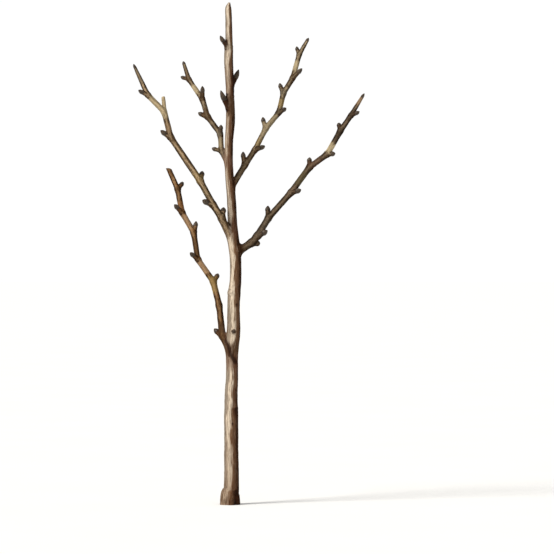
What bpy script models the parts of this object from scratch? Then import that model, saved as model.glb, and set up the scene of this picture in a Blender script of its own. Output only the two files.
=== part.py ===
"""Bare fruit tree sapling, dormant and rooted in the ground.

One upright leader runs whole from a flat cut at ground level to its end bud. Five
zigzag boughs leave it, and each bough carries on past a fork as a young outer shoot.
Short spurs with buds stand on alternate sides of the bends. Sizes are in millimetres
until they reach Blender, +X is to the right, +Y to the back and +Z up, and the origin
is the middle of the cut at the foot of the trunk.
"""

import math
import random

import bmesh
import bpy
from mathutils import Vector

MM = 0.001
SEED = 20
GAP = 0.3                 # clear space between two neighbouring solids
OBJECT_NAME = "fruit_tree_sapling"

# ---- trunk -------------------------------------------------------------------------

# Height above the ground, sideways lean of the centre line, diameter
TRUNK_STATIONS = (
    (0, 0, 60), (18, 0, 58.5), (34, 0.5, 55.5), (46, 3.5, 47.5), (56, 4, 45.5),
    (100, 4.5, 44), (160, 3.5, 42), (220, 4, 42), (272, 3.5, 43), (300, 3.5, 40.5), (335, 3.5, 39), (380, 6, 36.5),
    (435, 6, 36), (475, 7, 40), (525, 11, 40), (595, 11, 37), (635, 13, 38),
    (670, 16.5, 34.5), (740, 16.5, 34), (795, 10, 35), (846, 7, 29), (918, 4, 27),
    (1008, -3, 25), (1086, -3, 25), (1152, 1.5, 27.5), (1240, 0, 24.5), (1330, -4, 27),
    (1364, -3.5, 26), (1392, -3, 22), (1450, -4, 20), (1480, -5, 19.5), (1492, -5, 17),
    (1501, -3, 10), (1507.5, -1, 4),
)
TRUNK_RING_STEP = 19      # height from one ring of the trunk to the next
TRUNK_SIDES = 14
TRUNK_SWAY = 6            # how far the leader wanders to the front and back
TRUNK_SWAY_PERIOD = 760
ROOT_LOBES = 5            # swellings where the main roots leave the foot
ROOT_LOBE_SIZE = 0.06     # their depth, as a share of the trunk's radius
ROOT_LOBE_HEIGHT = 45

# Growths on the trunk: height, tilt in the XZ plane, turn out of it to the back,
# length from the centre line, thickness, shape
TRUNK_GROWTHS = (
    (1368, -35, -20, 48.5, 13, "bud"),
    (1248, 24, 18, 68, 15, "bud"),
    (1180, -25.5, -16, 71.5, 15, "bud"),
    (519, 0, -90, 25, 15, "knob"),
    (636, -90, -48, 23, 20, "knob"),
)

# ---- limbs -------------------------------------------------------------------------

# start: sideways place and height of the limb's root on the trunk's centre line.
# turn: degrees that the limb leans to the back at its root and at its tip.
# widths: diameter at the root, the quarters and the tip.
# bough_nodes: how many bends belong to the older bough before the shoot takes over.
# internodes: length, tilt from upright (+ to the right), then the spur at the bend
# that ends it: tilt, length, shape.
LIMBS = {
    "low_left": dict(
        start=(0, 459), turn=(5, 33), widths=(21, 19, 17, 17.5, 15), bough_nodes=5,
        pruned=True, internodes=(
            (52.5, -26, -50, 34, "bud"), (94, -6.5, 0, 0, None), (75, -14, 32, 28, "bud"),
            (88, -35.5, -48, 31, "bud"), (85, -9, 11, 36, "bud"), (83, -31, -43, 34, "bud"),
            (83.5, -11.5, 35, 28, "bud"), (79.5, -24.5, 0, 0, None))),
    "low_right": dict(
        start=(10.5, 750), turn=(-6, -22), widths=(25, 19, 18.5, 17, 8), bough_nodes=5,
        pruned=False, internodes=(
            (65, 57, 94, 24, "knob"), (27, 40, 62, 35, "bud"), (64, 32, -2, 38, "bud"),
            (103, 41.5, 76, 31, "bud"), (99, 36.5, 1, 30, "bud"), (66, 54, 86, 24, "bud"),
            (83, 29.5, -10, 26, "bud"), (59, 34.5, 67, 27, "bud"), (78, 31.5, 0, 0, None))),
    "mid_left": dict(
        start=(2.5, 798), turn=(-28, -14), widths=(23, 20, 19, 16.5, 7.5), bough_nodes=5,
        pruned=False, internodes=(
            (71.5, -24, 9, 34, "bud"), (53.5, -32.5, -67, 34, "bud"), (87.5, -28.5, 12, 31, "bud"),
            (159, -34, -55, 36, "bud"), (85, -13.5, -5, 45, "snag"),
            (69, -45, -63, 30, "bud"), (103, -24.5, 0, 0, None))),
    "top_right": dict(
        start=(1.5, 948), turn=(26, 20), widths=(20, 17, 16.5, 16.5, 9), bough_nodes=3,
        pruned=False, internodes=(
            (99.5, 30.5, -8, 42, "bud"), (60, 32.5, 71, 33, "bud"), (80.5, 26.5, -15, 37, "bud"),
            (72, 38.5, 59, 27, "bud"), (65, 13, -20, 34, "bud"), (63, 31, 46, 40, "bud"),
            (80, 15, -16, 28, "bud"), (65, 29, 0, 0, None))),
    "top_left": dict(
        start=(-6.5, 1021), turn=(8, 26), widths=(16, 16, 17, 14.5, 9), bough_nodes=4,
        pruned=False, internodes=(
            (48, -25.5, -75, 30, "bud"), (50, -3, 4, 28, "bud"), (68, -36.5, -65, 32, "bud"),
            (61.5, -16.5, 1, 39, "bud"), (78, -34, -69, 27, "bud"), (71, -17.5, 0, 0, None))),
}
LIMB_SIDES = 10
LEAF_TURN = 144           # degrees round the limb from one bend to the next
TURN_SWING = 7            # how far each bend swings out of the limb's own sweep
BEND_REACH = 13           # length of the rounded part each side of a bend
COLLAR_REACH = 34         # length of the swollen collar where a limb leaves the trunk
COLLAR_SWELL = 0.5
COLLAR_RINGS = (12, 20, 28)
ROOT_SHARE = 0.6          # thickness of a limb's hidden root, as a share of its width
NODE_SWELL = 0.16         # how much a limb thickens at a bend
SHOOT_START = 22          # distance past its last bend at which a bough hands over
END_BUD = 16              # length of the bud that closes an unpruned shoot

# ---- spurs -------------------------------------------------------------------------

# Share of the length and of the thickness, from the root of the growth to its end
GROWTH_SHAPES = {
    "bud": ((0.0, 1.1), (0.28, 0.96), (0.5, 0.88), (0.7, 1.0), (0.88, 0.78), (1.0, 0.3)),
    "knob": ((0.0, 1.1), (0.4, 0.95), (0.68, 1.0), (0.88, 0.8), (1.0, 0.4)),
    "snag": ((0.0, 1.1), (0.3, 0.95), (0.7, 0.88), (1.0, 0.8)),
}
GROWTH_SIDES = 8
SPUR_WIDTH = 0.8          # thickness of a spur, as a share of its limb's at the bend
SPUR_FAN = (24, 42)       # degrees that spurs turn out of the XZ plane, by turns
SPUR_RUN_DOWN = 9         # how far below its bend a spur's wood is rooted in the limb
SPUR_BOW = 0.16           # how far a spur bows out before it turns up

# Base colour, roughness
BARKS = {
    "trunk": ((0.36, 0.29, 0.23), 0.8),
    "bough": ((0.24, 0.17, 0.10), 0.75),
    "shoot": ((0.29, 0.22, 0.13), 0.7),
}


def direction(tilt, turn):
    """Unit vector tilted in the XZ plane and turned out of it, both in degrees."""
    flat = math.cos(math.radians(turn))
    side = math.sin(math.radians(tilt)) * flat
    up = math.cos(math.radians(tilt)) * flat
    return Vector((side, math.sin(math.radians(turn)), up))


def hermite(rows, at, column):
    """Smooth value of one column of the rows, read at a place in their first column."""
    last = len(rows) - 1
    i = max(k for k in range(last) if rows[k][0] <= at or k == 0)

    def slope(k):
        low, high = max(k - 1, 0), min(k + 1, last)
        return (rows[high][column] - rows[low][column]) / (rows[high][0] - rows[low][0])

    span = rows[i + 1][0] - rows[i][0]
    t = (at - rows[i][0]) / span
    rise = rows[i + 1][column] - rows[i][column]
    start, end = slope(i) * span, slope(i + 1) * span
    return (rows[i][column] + start * t + (3 * rise - 2 * start - end) * t ** 2
            + (start + end - 2 * rise) * t ** 3)


def trunk_centre(height):
    """Centre of the trunk at a height; it stands upright where it leaves the ground."""
    rooted = min(height / 250, 1) ** 2
    sway = TRUNK_SWAY * math.sin(2 * math.pi * height / TRUNK_SWAY_PERIOD) * rooted
    return Vector((hermite(TRUNK_STATIONS, height, 1), sway, height))


def trunk_radius(height):
    return hermite(TRUNK_STATIONS, height, 2) / 2


def limb_nodes(limb):
    """The root and the bends of a limb, and the heading of each stretch between."""
    side, height = limb["start"]
    nodes = [Vector((side, trunk_centre(height).y, height))]
    headings = []
    rows = limb["internodes"]
    for k, row in enumerate(rows):
        sweep = limb["turn"][0] + (limb["turn"][1] - limb["turn"][0]) * k / (len(rows) - 1)
        swing = TURN_SWING * math.sin(math.radians(LEAF_TURN * k) + 1)
        headings.append(direction(row[1], sweep + swing))
        nodes.append(nodes[-1] + headings[-1] * row[0])
    return nodes, headings


def limb_width(limb, share):
    """Diameter of a limb at a share of its length; its last quarter tapers ever faster."""
    widths = limb["widths"]
    quarter = min(int(share * 4), 3)
    step = share * 4 - quarter
    if quarter == 3:
        step **= 2
    return widths[quarter] + (widths[quarter + 1] - widths[quarter]) * step


def limb_rings(limb):
    """Centre line and radii of a limb's bough and of its shoot, as two lists of rings."""
    nodes, headings = limb_nodes(limb)
    total = sum(row[0] for row in limb["internodes"])
    bough, shoot = [], []
    walked = 0

    def ring(point, distance, swell):
        collar = COLLAR_SWELL * max(0, 1 - distance / COLLAR_REACH) ** 2
        width = limb_width(limb, min(distance / total, 1))
        return point, width / 2 * (1 + swell + collar)

    bough.append((nodes[0], limb["widths"][0] / 2 * ROOT_SHARE))
    for reach in COLLAR_RINGS:
        bough.append(ring(nodes[0] + headings[0] * reach, reach, 0))
    for k in range(1, len(nodes) - 1):
        walked += limb["internodes"][k - 1][0]
        part = bough if k <= limb["bough_nodes"] else shoot
        before = nodes[k] - headings[k - 1] * BEND_REACH
        after = nodes[k] + headings[k] * BEND_REACH
        middle = (before + after + nodes[k] * 2) / 4
        part += [ring(before, walked - BEND_REACH, NODE_SWELL * 0.45),
                 ring(middle, walked, NODE_SWELL),
                 ring(after, walked + BEND_REACH, 0)]
        if k == limb["bough_nodes"]:
            cut = nodes[k] + headings[k] * SHOOT_START
            reach = walked + SHOOT_START
            half_gap = headings[k] * GAP / 2
            bough.append(ring(cut - half_gap, reach, 0))
            shoot += [ring(cut + half_gap, reach, 0), ring(cut + headings[k] * 4, reach, 0)]
    if limb["pruned"]:
        shoot.append(ring(nodes[-1], total, 0))
    else:
        for back, swell in ((1, 0.05), (0.55, 0.3), (0.2, -0.1), (0, -0.6)):
            place = nodes[-1] - headings[-1] * END_BUD * back
            shoot.append(ring(place, total - END_BUD * back, swell))
    return bough, shoot


def growth_rings(foot, root, tip, heading, thickness, shape):
    """Rings of a spur, knob or snag: rooted at foot, past root, bowed on its way to tip."""
    reach = tip - root
    outward = reach - heading * reach.dot(heading)
    middle = (root + tip) / 2 + outward * SPUR_BOW
    rings = [(foot, thickness * 0.4)]
    for share, width in GROWTH_SHAPES[shape]:
        t = 0.12 + 0.88 * share
        place = root * (1 - t) ** 2 + middle * 2 * t * (1 - t) + tip * t ** 2
        rings.append((place, thickness / 2 * width))
    return rings


def tube(name, rings, sides):
    """Closed tube through rings of (centre, radius) in millimetres, as a mesh object."""
    curve = bpy.data.curves.new(name, "CURVE")
    curve.dimensions = "3D"
    curve.bevel_depth = MM
    curve.bevel_resolution = (sides - 4) // 2
    curve.use_fill_caps = True
    curve.twist_mode = "MINIMUM"
    spline = curve.splines.new("POLY")
    spline.points.add(len(rings) - 1)
    for point, (centre, radius) in zip(spline.points, rings):
        point.co = (*(centre * MM), 1)
        point.radius = radius
    drawn = bpy.data.objects.new(name + "_line", curve)
    bpy.context.scene.collection.objects.link(drawn)
    piece = applied(name, drawn)
    weld(piece.data)
    return piece


def applied(name, source):
    """Replace an object by a mesh object of the shape that its modifiers give it."""
    bpy.context.view_layer.update()
    shown = source.evaluated_get(bpy.context.evaluated_depsgraph_get())
    mesh = bpy.data.meshes.new_from_object(shown)
    mesh.name = name
    piece = bpy.data.objects.new(name, mesh)
    piece.matrix_world = source.matrix_world
    bpy.context.scene.collection.objects.link(piece)
    bpy.data.objects.remove(source)
    piece.name = name
    return piece


def weld(mesh):
    """Join the caps of a tube to its wall and turn every face outwards."""
    shape = bmesh.new()
    shape.from_mesh(mesh)
    bmesh.ops.remove_doubles(shape, verts=shape.verts, dist=0.00001)
    bmesh.ops.recalc_face_normals(shape, faces=shape.faces)
    shape.to_mesh(mesh)
    shape.free()


def united(piece, growths):
    """Join the growths to a piece with one Boolean union, and remove them."""
    name = piece.name
    if not growths:
        return piece
    group = bpy.data.collections.new(name + "_growths")
    bpy.context.scene.collection.children.link(group)
    for growth in growths:
        bpy.context.scene.collection.objects.unlink(growth)
        group.objects.link(growth)
    union = piece.modifiers.new("growths", "BOOLEAN")
    union.operation = "UNION"
    union.operand_type = "COLLECTION"
    union.collection = group
    union.solver = "EXACT"
    piece = applied(name, piece)
    for growth in list(group.objects):
        bpy.data.objects.remove(growth)
    bpy.data.collections.remove(group)
    return piece


def cut_clear(piece, cutter):
    """Take the cutter's space out of a piece."""
    cut = piece.modifiers.new("clearance", "BOOLEAN")
    cut.operation = "DIFFERENCE"
    cut.object = cutter
    cut.solver = "EXACT"
    return applied(piece.name, piece)


def trunk_tube(name, allowance):
    """The leader with its lobed foot, thickened all round by an allowance."""
    top = TRUNK_STATIONS[-1][0]
    tip_rings = [row[0] for row in TRUNK_STATIONS if row[0] > 1470]
    heights = [0, 6] + list(range(16, 1470, TRUNK_RING_STEP)) + tip_rings
    rings = [(trunk_centre(z), trunk_radius(z) + allowance) for z in heights if z <= top]
    rings[1] = (Vector((0, 0, 6)), rings[1][1])
    trunk = tube(name, rings, TRUNK_SIDES)
    for vertex in trunk.data.vertices:
        height = vertex.co.z / MM
        lobe = math.cos(ROOT_LOBES * math.atan2(vertex.co.y, vertex.co.x) + 0.7)
        swell = 1 + ROOT_LOBE_SIZE * lobe * math.exp(-(height / ROOT_LOBE_HEIGHT) ** 2)
        vertex.co.x *= swell
        vertex.co.y *= swell
        if height < 0.5:
            vertex.co.z = 0
    return trunk


def build_trunk():
    trunk = trunk_tube("trunk", 0)
    growths = []
    for number, row in enumerate(TRUNK_GROWTHS):
        height, tilt, turn, length, thickness, shape = row
        root = trunk_centre(height)
        tip = root + direction(tilt, turn) * length
        foot = root + Vector((0, 0, -SPUR_RUN_DOWN if shape == "bud" else 0))
        rings = growth_rings(foot, root, tip, Vector((0, 0, 1)), thickness, shape)
        if shape == "knob":
            rings = rings[1:]
        growths.append(tube(f"trunk_growth_{number}", rings, GROWTH_SIDES))
    return united(trunk, growths)


def build_limb(name, limb, chance):
    """One bough, cut to the trunk, and the shoot that goes on from its end."""
    nodes, headings = limb_nodes(limb)
    rows = limb["internodes"]
    total = sum(row[0] for row in rows)
    bough_rings, shoot_rings = limb_rings(limb)
    bough_growths, shoot_growths = [], []
    walked = 0
    for k, (length, tilt, spur_tilt, spur_length, shape) in enumerate(rows):
        walked += length
        fan = chance.uniform(*SPUR_FAN) * (-1) ** k
        if shape is None:
            continue
        node, heading = nodes[k + 1], headings[k]
        turned = math.cos(math.radians(fan))
        thickness = limb_width(limb, walked / total) * SPUR_WIDTH
        tip = node + direction(spur_tilt, fan) * spur_length / turned
        foot = node - heading * SPUR_RUN_DOWN
        rings = growth_rings(foot, node, tip, heading, thickness, shape)
        on_bough = k < limb["bough_nodes"]
        spur = tube(f"{name}_spur_{k}", rings, GROWTH_SIDES)
        (bough_growths if on_bough else shoot_growths).append(spur)
    bough = united(tube("bough_" + name, bough_rings, LIMB_SIDES), bough_growths)
    shoot = united(tube("shoot_" + name, shoot_rings, LIMB_SIDES), shoot_growths)
    clearance = trunk_tube("trunk_clearance", GAP)
    bough = cut_clear(bough, clearance)
    bpy.data.objects.remove(clearance)
    return bough, shoot


def bark(kind, name):
    """A plain bark for one piece, in the colour of its kind of wood."""
    colour, roughness = BARKS[kind]
    material = bpy.data.materials.new(name + "_bark")
    material.use_nodes = True
    shader = material.node_tree.nodes["Principled BSDF"]
    shader.inputs["Base Color"].default_value = (*colour, 1)
    shader.inputs["Roughness"].default_value = roughness
    shader.inputs["Metallic"].default_value = 0
    return material


def finish(piece, collection):
    """Put a piece in the tree's collection with its bark, shaded smooth."""
    bpy.context.scene.collection.objects.unlink(piece)
    collection.objects.link(piece)
    piece.data.materials.clear()
    piece.data.materials.append(bark(piece.name.split("_")[0], piece.name))
    piece.data.shade_smooth()
    piece.data.set_sharp_from_angle(angle=math.radians(50))


def main():
    for thing in list(bpy.data.objects):
        bpy.data.objects.remove(thing)
    tree = bpy.data.collections.new(OBJECT_NAME)
    bpy.context.scene.collection.children.link(tree)
    chance = random.Random(SEED)
    pieces = [build_trunk()]
    for name, limb in LIMBS.items():
        pieces += build_limb(name, limb, chance)
    for piece in pieces:
        finish(piece, tree)


main()
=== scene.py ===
"""Looks of the bare fruit tree sapling: bark with relief, fused unions, scaly buds, cut ends.

The trunk, boughs and shoots are grown again by the source's rule, in millimetres. Tubes
along their centre lines are fused by a voxel remesh, drawn onto one smooth surface in
which each union has its fillet, roughened with the bark's relief, and cut apart again
where one limb ends and the next begins.
"""

import random
from math import atan, cos, exp, pi, radians, sin

import bmesh
import bpy
import numpy as np
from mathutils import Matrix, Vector


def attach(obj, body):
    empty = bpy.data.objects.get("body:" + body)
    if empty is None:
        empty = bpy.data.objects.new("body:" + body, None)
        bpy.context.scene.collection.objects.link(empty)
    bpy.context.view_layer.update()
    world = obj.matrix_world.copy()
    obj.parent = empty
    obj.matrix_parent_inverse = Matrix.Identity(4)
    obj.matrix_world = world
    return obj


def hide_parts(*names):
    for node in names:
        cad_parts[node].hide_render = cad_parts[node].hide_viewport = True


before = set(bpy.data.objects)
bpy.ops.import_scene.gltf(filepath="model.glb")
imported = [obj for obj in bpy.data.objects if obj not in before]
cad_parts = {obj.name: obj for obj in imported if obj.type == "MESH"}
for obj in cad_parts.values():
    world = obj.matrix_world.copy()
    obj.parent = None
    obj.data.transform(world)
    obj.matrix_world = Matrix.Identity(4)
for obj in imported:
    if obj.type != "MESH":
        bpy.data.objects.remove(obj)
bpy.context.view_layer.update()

MM = 0.001
SEED = 20

# ---- the tree's sizes, as in its source ----

# Height above the ground, sideways lean of the centre line, diameter
TRUNK_STATIONS = (
    (0, 0, 60), (18, 0, 58.5), (34, 0.5, 55.5), (46, 3.5, 47.5), (56, 4, 45.5),
    (100, 4.5, 44), (160, 3.5, 42), (220, 4, 42), (272, 3.5, 43), (300, 3.5, 40.5),
    (335, 3.5, 39), (380, 6, 36.5), (435, 6, 36), (475, 7, 40), (525, 11, 40),
    (595, 11, 37), (635, 13, 38), (670, 16.5, 34.5), (740, 16.5, 34), (795, 10, 35),
    (846, 7, 29), (918, 4, 27), (1008, -3, 25), (1086, -3, 25), (1152, 1.5, 27.5),
    (1240, 0, 24.5), (1330, -4, 27), (1364, -3.5, 26), (1392, -3, 22), (1450, -4, 20),
    (1480, -5, 19.5), (1492, -5, 17), (1501, -3, 10), (1507.5, -1, 4),
)
TRUNK_SWAY = 6            # how far the leader wanders to the front and back
TRUNK_SWAY_PERIOD = 760
TRUNK_ROOTED = 250        # height at which it sways in full
ROOT_LOBES = 5            # swellings where the main roots leave the foot
ROOT_LOBE_SIZE = 0.06     # their depth, as a share of the trunk's radius
ROOT_LOBE_TURN = 0.7
ROOT_LOBE_HEIGHT = 45

# Growths on the trunk: height, tilt in the XZ plane, turn out of it to the back,
# length from the centre line, thickness, shape
TRUNK_GROWTHS = (
    (1368, -35, -20, 48.5, 13, "bud"),
    (1248, 24, 18, 68, 15, "bud"),
    (1180, -25.5, -16, 71.5, 15, "bud"),
    (519, 0, -90, 25, 15, "knob"),
    (636, -90, -48, 23, 20, "knob"),
)

# start: sideways place and height of the limb's root on the trunk's centre line.
# turn: degrees that the limb leans to the back at its root and at its tip.
# widths: diameter at the root, the quarters and the tip.
# bough_nodes: how many bends belong to the older bough before the shoot takes over.
# internodes: length, tilt from upright (+ to the right), then the spur at the bend
# that ends it: tilt, length, shape.
LIMBS = {
    "low_left": dict(
        start=(0, 459), turn=(5, 33), widths=(21, 19, 17, 17.5, 15), bough_nodes=5,
        pruned=True, internodes=(
            (52.5, -26, -50, 34, "bud"), (94, -6.5, 0, 0, None), (75, -14, 32, 28, "bud"),
            (88, -35.5, -48, 31, "bud"), (85, -9, 11, 36, "bud"), (83, -31, -43, 34, "bud"),
            (83.5, -11.5, 35, 28, "bud"), (79.5, -24.5, 0, 0, None))),
    "low_right": dict(
        start=(10.5, 750), turn=(-6, -22), widths=(25, 19, 18.5, 17, 8), bough_nodes=5,
        pruned=False, internodes=(
            (65, 57, 94, 24, "knob"), (27, 40, 62, 35, "bud"), (64, 32, -2, 38, "bud"),
            (103, 41.5, 76, 31, "bud"), (99, 36.5, 1, 30, "bud"), (66, 54, 86, 24, "bud"),
            (83, 29.5, -10, 26, "bud"), (59, 34.5, 67, 27, "bud"), (78, 31.5, 0, 0, None))),
    "mid_left": dict(
        start=(2.5, 798), turn=(-28, -14), widths=(23, 20, 19, 16.5, 7.5), bough_nodes=5,
        pruned=False, internodes=(
            (71.5, -24, 9, 34, "bud"), (53.5, -32.5, -67, 34, "bud"), (87.5, -28.5, 12, 31, "bud"),
            (159, -34, -55, 36, "bud"), (85, -13.5, -5, 45, "snag"),
            (69, -45, -63, 30, "bud"), (103, -24.5, 0, 0, None))),
    "top_right": dict(
        start=(1.5, 948), turn=(26, 20), widths=(20, 17, 16.5, 16.5, 9), bough_nodes=3,
        pruned=False, internodes=(
            (99.5, 30.5, -8, 42, "bud"), (60, 32.5, 71, 33, "bud"), (80.5, 26.5, -15, 37, "bud"),
            (72, 38.5, 59, 27, "bud"), (65, 13, -20, 34, "bud"), (63, 31, 46, 40, "bud"),
            (80, 15, -16, 28, "bud"), (65, 29, 0, 0, None))),
    "top_left": dict(
        start=(-6.5, 1021), turn=(8, 26), widths=(16, 16, 17, 14.5, 9), bough_nodes=4,
        pruned=False, internodes=(
            (48, -25.5, -75, 30, "bud"), (50, -3, 4, 28, "bud"), (68, -36.5, -65, 32, "bud"),
            (61.5, -16.5, 1, 39, "bud"), (78, -34, -69, 27, "bud"), (71, -17.5, 0, 0, None))),
}
LEAF_TURN = 144           # degrees round the limb from one bend to the next
TURN_SWING = 7            # how far each bend swings out of the limb's own sweep
BEND_REACH = 13           # length of the rounded part each side of a bend
COLLAR_REACH = 34         # length of the swollen collar where a limb leaves the trunk
COLLAR_SWELL = 0.5
NODE_SWELL = 0.16         # how much a limb thickens at a bend
NODE_REACH = (11, 7)      # how far that swelling reaches below and above the bend
SHOOT_START = 22          # distance past its last bend at which a bough hands over
SHOOT_FOOT = 0.9          # width of a shoot's sunken foot, as a share of its own
END_BUD = 16              # length of the bud that closes an unpruned shoot
PRUNING_SLOPE = (-0.75, 0.25, 0)     # which way and how steeply a pruned end is slanted
PRUNING_REACH = 6         # how far its longer side runs on past its middle
# Share of the length and of the thickness, from the root of the growth to its end
GROWTH_SHAPES = {
    "stalk": ((0.0, 1.1), (0.2, 1.02), (0.35, 0.98), (0.5, 0.95), (0.62, 0.88), (0.7, 0.7)),
    "knob": ((0.0, 1.1), (0.4, 0.95), (0.68, 1.0), (0.88, 0.8), (1.0, 0.4)),
    "snag": ((0.0, 1.1), (0.3, 0.95), (0.7, 0.88), (1.0, 0.8)),
}
GROWTH_ROOT = 0.4         # radius of a growth's hidden foot, as a share of its thickness
GROWTH_SKIP = 0.12        # share of a growth's curve that is left to its foot
SPUR_WIDTH = 0.8          # thickness of a spur, as a share of its limb's at the bend
SPUR_FAN = (24, 42)       # degrees that spurs turn out of the XZ plane, by turns
SPUR_RUN_DOWN = 9         # how far below its bend a spur's wood is rooted in the limb
SPUR_BOW = 0.16           # how far a spur bows out before it turns up
ROOT_SHARE = 0.6          # thickness of a limb's hidden root, as a share of its width
ROOT_RUN = 34             # how far below its root the wood of an upright bough starts
ROOT_EASE = 30            # distance along a bough at which it has left the trunk's line

# ---- sizes of the finer work ----

WOOD_VOXEL = 1.5          # mesh size on the trunk and the boughs
SHOOT_VOXEL = 0.8         # mesh size on the thin outer shoots
SAMPLE_STEP = 3.0         # distance between samples of a centre line
TUBE_SIDES = 20
PART_SIZE = 20000         # how many places are measured at a time
NEAR = 25                 # distance from a limb within which places look at it
FAR = 1000.0              # a gap larger than any that is measured
DRAW_ROUNDS = 3           # how often the remeshed skin is drawn onto the union
DRAW_STEP = 4             # how far at most, each time
FILLET = 0.7              # width of a union's fillet, as a share of the thinner radius
FORK_FILLET = 1.2         # the same where a bough leaves the trunk
LEAST_FILLET = 0.5
BELOW_GROUND = 8          # how far the raw trunk goes down before it is cut flat
SHOOT_OVERLAP = 5         # how far a shoot's foot is sunk in the bough that bears it
# Ridges along the limbs: height, place in the noise, width and length of its cells
RIDGE_LAYERS = ((0.5, 31, 5.5, 34), (0.34, 67, 2.6, 13))
RIDGE_SHARPNESS = 2.2
SHOOT_AGE = 0.2           # how old and coarse bark looks, where 1 is the trunk's foot
SPUR_AGE = 0.4
BOUGH_AGE = 0.46
GROWTH_KINDS = ("bud", "snag", "knob")
LEAF_SCAR_DROP = 9        # how far below its spur the ledge of a leaf scar lies
LEAF_SCAR_HEIGHT = 1.3
BUD_SCARS = 3             # rings left by the scales of last year's bud
BUD_SCAR_STEP = 2.2
SPUR_DARK = 0.22          # how dark a spur's foot is; its end is twice as dark
KNOB_DARK = 0.2           # how dark an old knob is on average
# Where two limbs meet, at a fork and at a spur
UNION_RIDGE = (1.3, 0.3)  # height of the ridge of bark along the line
UNION_GROOVE = (0.7, 0.2)         # depth of the groove beside it
UNION_SHADE = (0.9, 0.7)  # darkness of the painted crease shade and its stain
UNION_REACH = (6, 3.2)    # how far it spreads
# Darkness of the painted crease shade and stain where a knob meets its wood
KNOB_UNION_SHADE = 0.25
FOOT_DARK_TOP = 26       # height up to which the trunk's foot grows darker towards the bottom
SOFTENINGS = 2            # how often the relief is averaged from point to point
CUT_FACING = 0.9          # how squarely a place has to face out of an end to be cut wood
CUT_DEPTH = 0.35          # and how near it has to be to the end's face
LIMB_SHIFT = 977          # distance between two limbs in the bark's own coordinates
STALK_SHARE = 0.62        # where a spur's wood stops, inside the foot of its bud
GROWTH_SHARES = np.linspace(0, 1, 17)    # where a growth's line has its points
BUD_FROM = 8              # the point of a growth's line where its bud starts
BUD_OVERLAP = 0.75        # how far down its bud a shoot's wood ends, as a share of it
END_BUD_WIDTH = 1.1       # width of a shoot's end bud, as a share of its tip's width
FRONT = np.array((0.0, -1.0, 0.0))
UPRIGHT = np.array((0.0, 0.0, 1.0))
EYE_KNOB = 3              # the growth of the trunk whose front is a sunken eye

# Annual rings on the trunk: height up the trunk, width, how far they stand out
RINGS = ((1377, 2.2, 0.8), (1314, 2.0, 0.5), (1227, 2.4, 0.6))
# Healed scars on the trunk: height, turn to the right of the front, half length, half
# width, darkness
HEALED_SCARS = ((637, -60, 12, 5, 0.25), (507, -32, 2.4, 2.4, 0.9), (846, -50, 6, 4, 0.8),
                (903, -18, 4, 3, 0.8))
# Seams where a bough's collar runs on across the trunk: upper end, lower end (height,
# turn), width of the stain
SEAMS = (((498, -72), (428, 44), 8),)
# Ledges on one side of the trunk, each with painted shade below it: height, turn, half width, how
# far they stand out
LEDGES = ((291, 44, 11, 0.9), (246, 10, 3, 0.5), (604, 30, 4, 0.3), (46, 46, 15, 0.5))
# Ridges that run down the trunk from its spurs: upper end, lower end, turn, height
RIDGES = ((1302, 1222, 62, 1.8), (1240, 1174, -62, 1.8), (1400, 1366, -58, 0.8))

BUD_BELLY = 0.2           # where along its length a bud is fullest
BUD_ROWS = 12
BUD_SIDES = 14
FAT_BUD = 11              # width from which a bud has the larger number of scales
SCALE_COUNTS = (10, 13)
SCALE_TURN = 137.5        # degrees round the bud from one scale to the next
SCALE_WAVER = 8           # degrees by which it strays from that
SCALE_FIRST = 0.02        # where the first scale starts, as a share of the bud
SCALE_RUN = 0.6           # the share of the bud over which the scales start
SCALE_LENGTHS = (0.36, 0.46)      # from and to, as shares of the bud
SCALE_PROUD = 0.1         # how far the last scale stands off the body
SCALE_LAYERS = 0.42       # how much more the first one does
CORE_TONE = (0.0, 0.2, 0.2)       # the colour values of the body under the scales
SCALE_ROWS = 7
SCALE_COLUMNS = 7
SCALE_SPREAD = 1.25       # half the angle that a bud scale wraps, in radians
SCALE_THICKNESS = 0.35

# ---- looks ----

# Painted crease shade where limbs meet, darkest and reddish, with stains; the darkest is also a
# cut end's pith
UNION_SHADE_AND_PITH = (0.016, 0.007, 0.004)
UNION_RED = (0.050, 0.016, 0.007)
CUT_LIGHT = (0.26, 0.20, 0.14)
CUT_DARK = (0.12, 0.085, 0.055)
SCALE_BROWN = (0.032, 0.020, 0.013)      # the darkest bud scale
SCALE_TAN = (0.085, 0.056, 0.034)        # the palest one
SCALE_RIB = (0.015, 0.009, 0.006)
SCALE_DOWN = (0.14, 0.110, 0.074)        # the downy margin of a scale
FLOOR_COLOURS = ((0.86, 0.86, 0.85), (0.9, 0.9, 0.89))
BARK_SPECULAR = 0.02      # bark is almost without a shine
BUD_SPECULAR = 0.25
BUD_ROUGHNESS = (0.42, 0.8)       # of a scale and of its margin
GRIT = 0.0011             # cells of the down on a bud scale, in metres
FLOOR_ROUGHNESS = 0.9
LENTICELS = (3.4, 1.7, 0.07)      # width and height of their cells, share with a spot
RING_RATE = 5.2           # radians of the pattern of year rings in a millimetre
# Roughness of the bark from streak to streak, and depth of its finest relief
YOUNG_ROUGHNESS = (0.5, 0.68)
OLD_ROUGHNESS = (0.7, 0.88)
YOUNG_BUMP = 0.35
OLD_BUMP = 0.8
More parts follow.
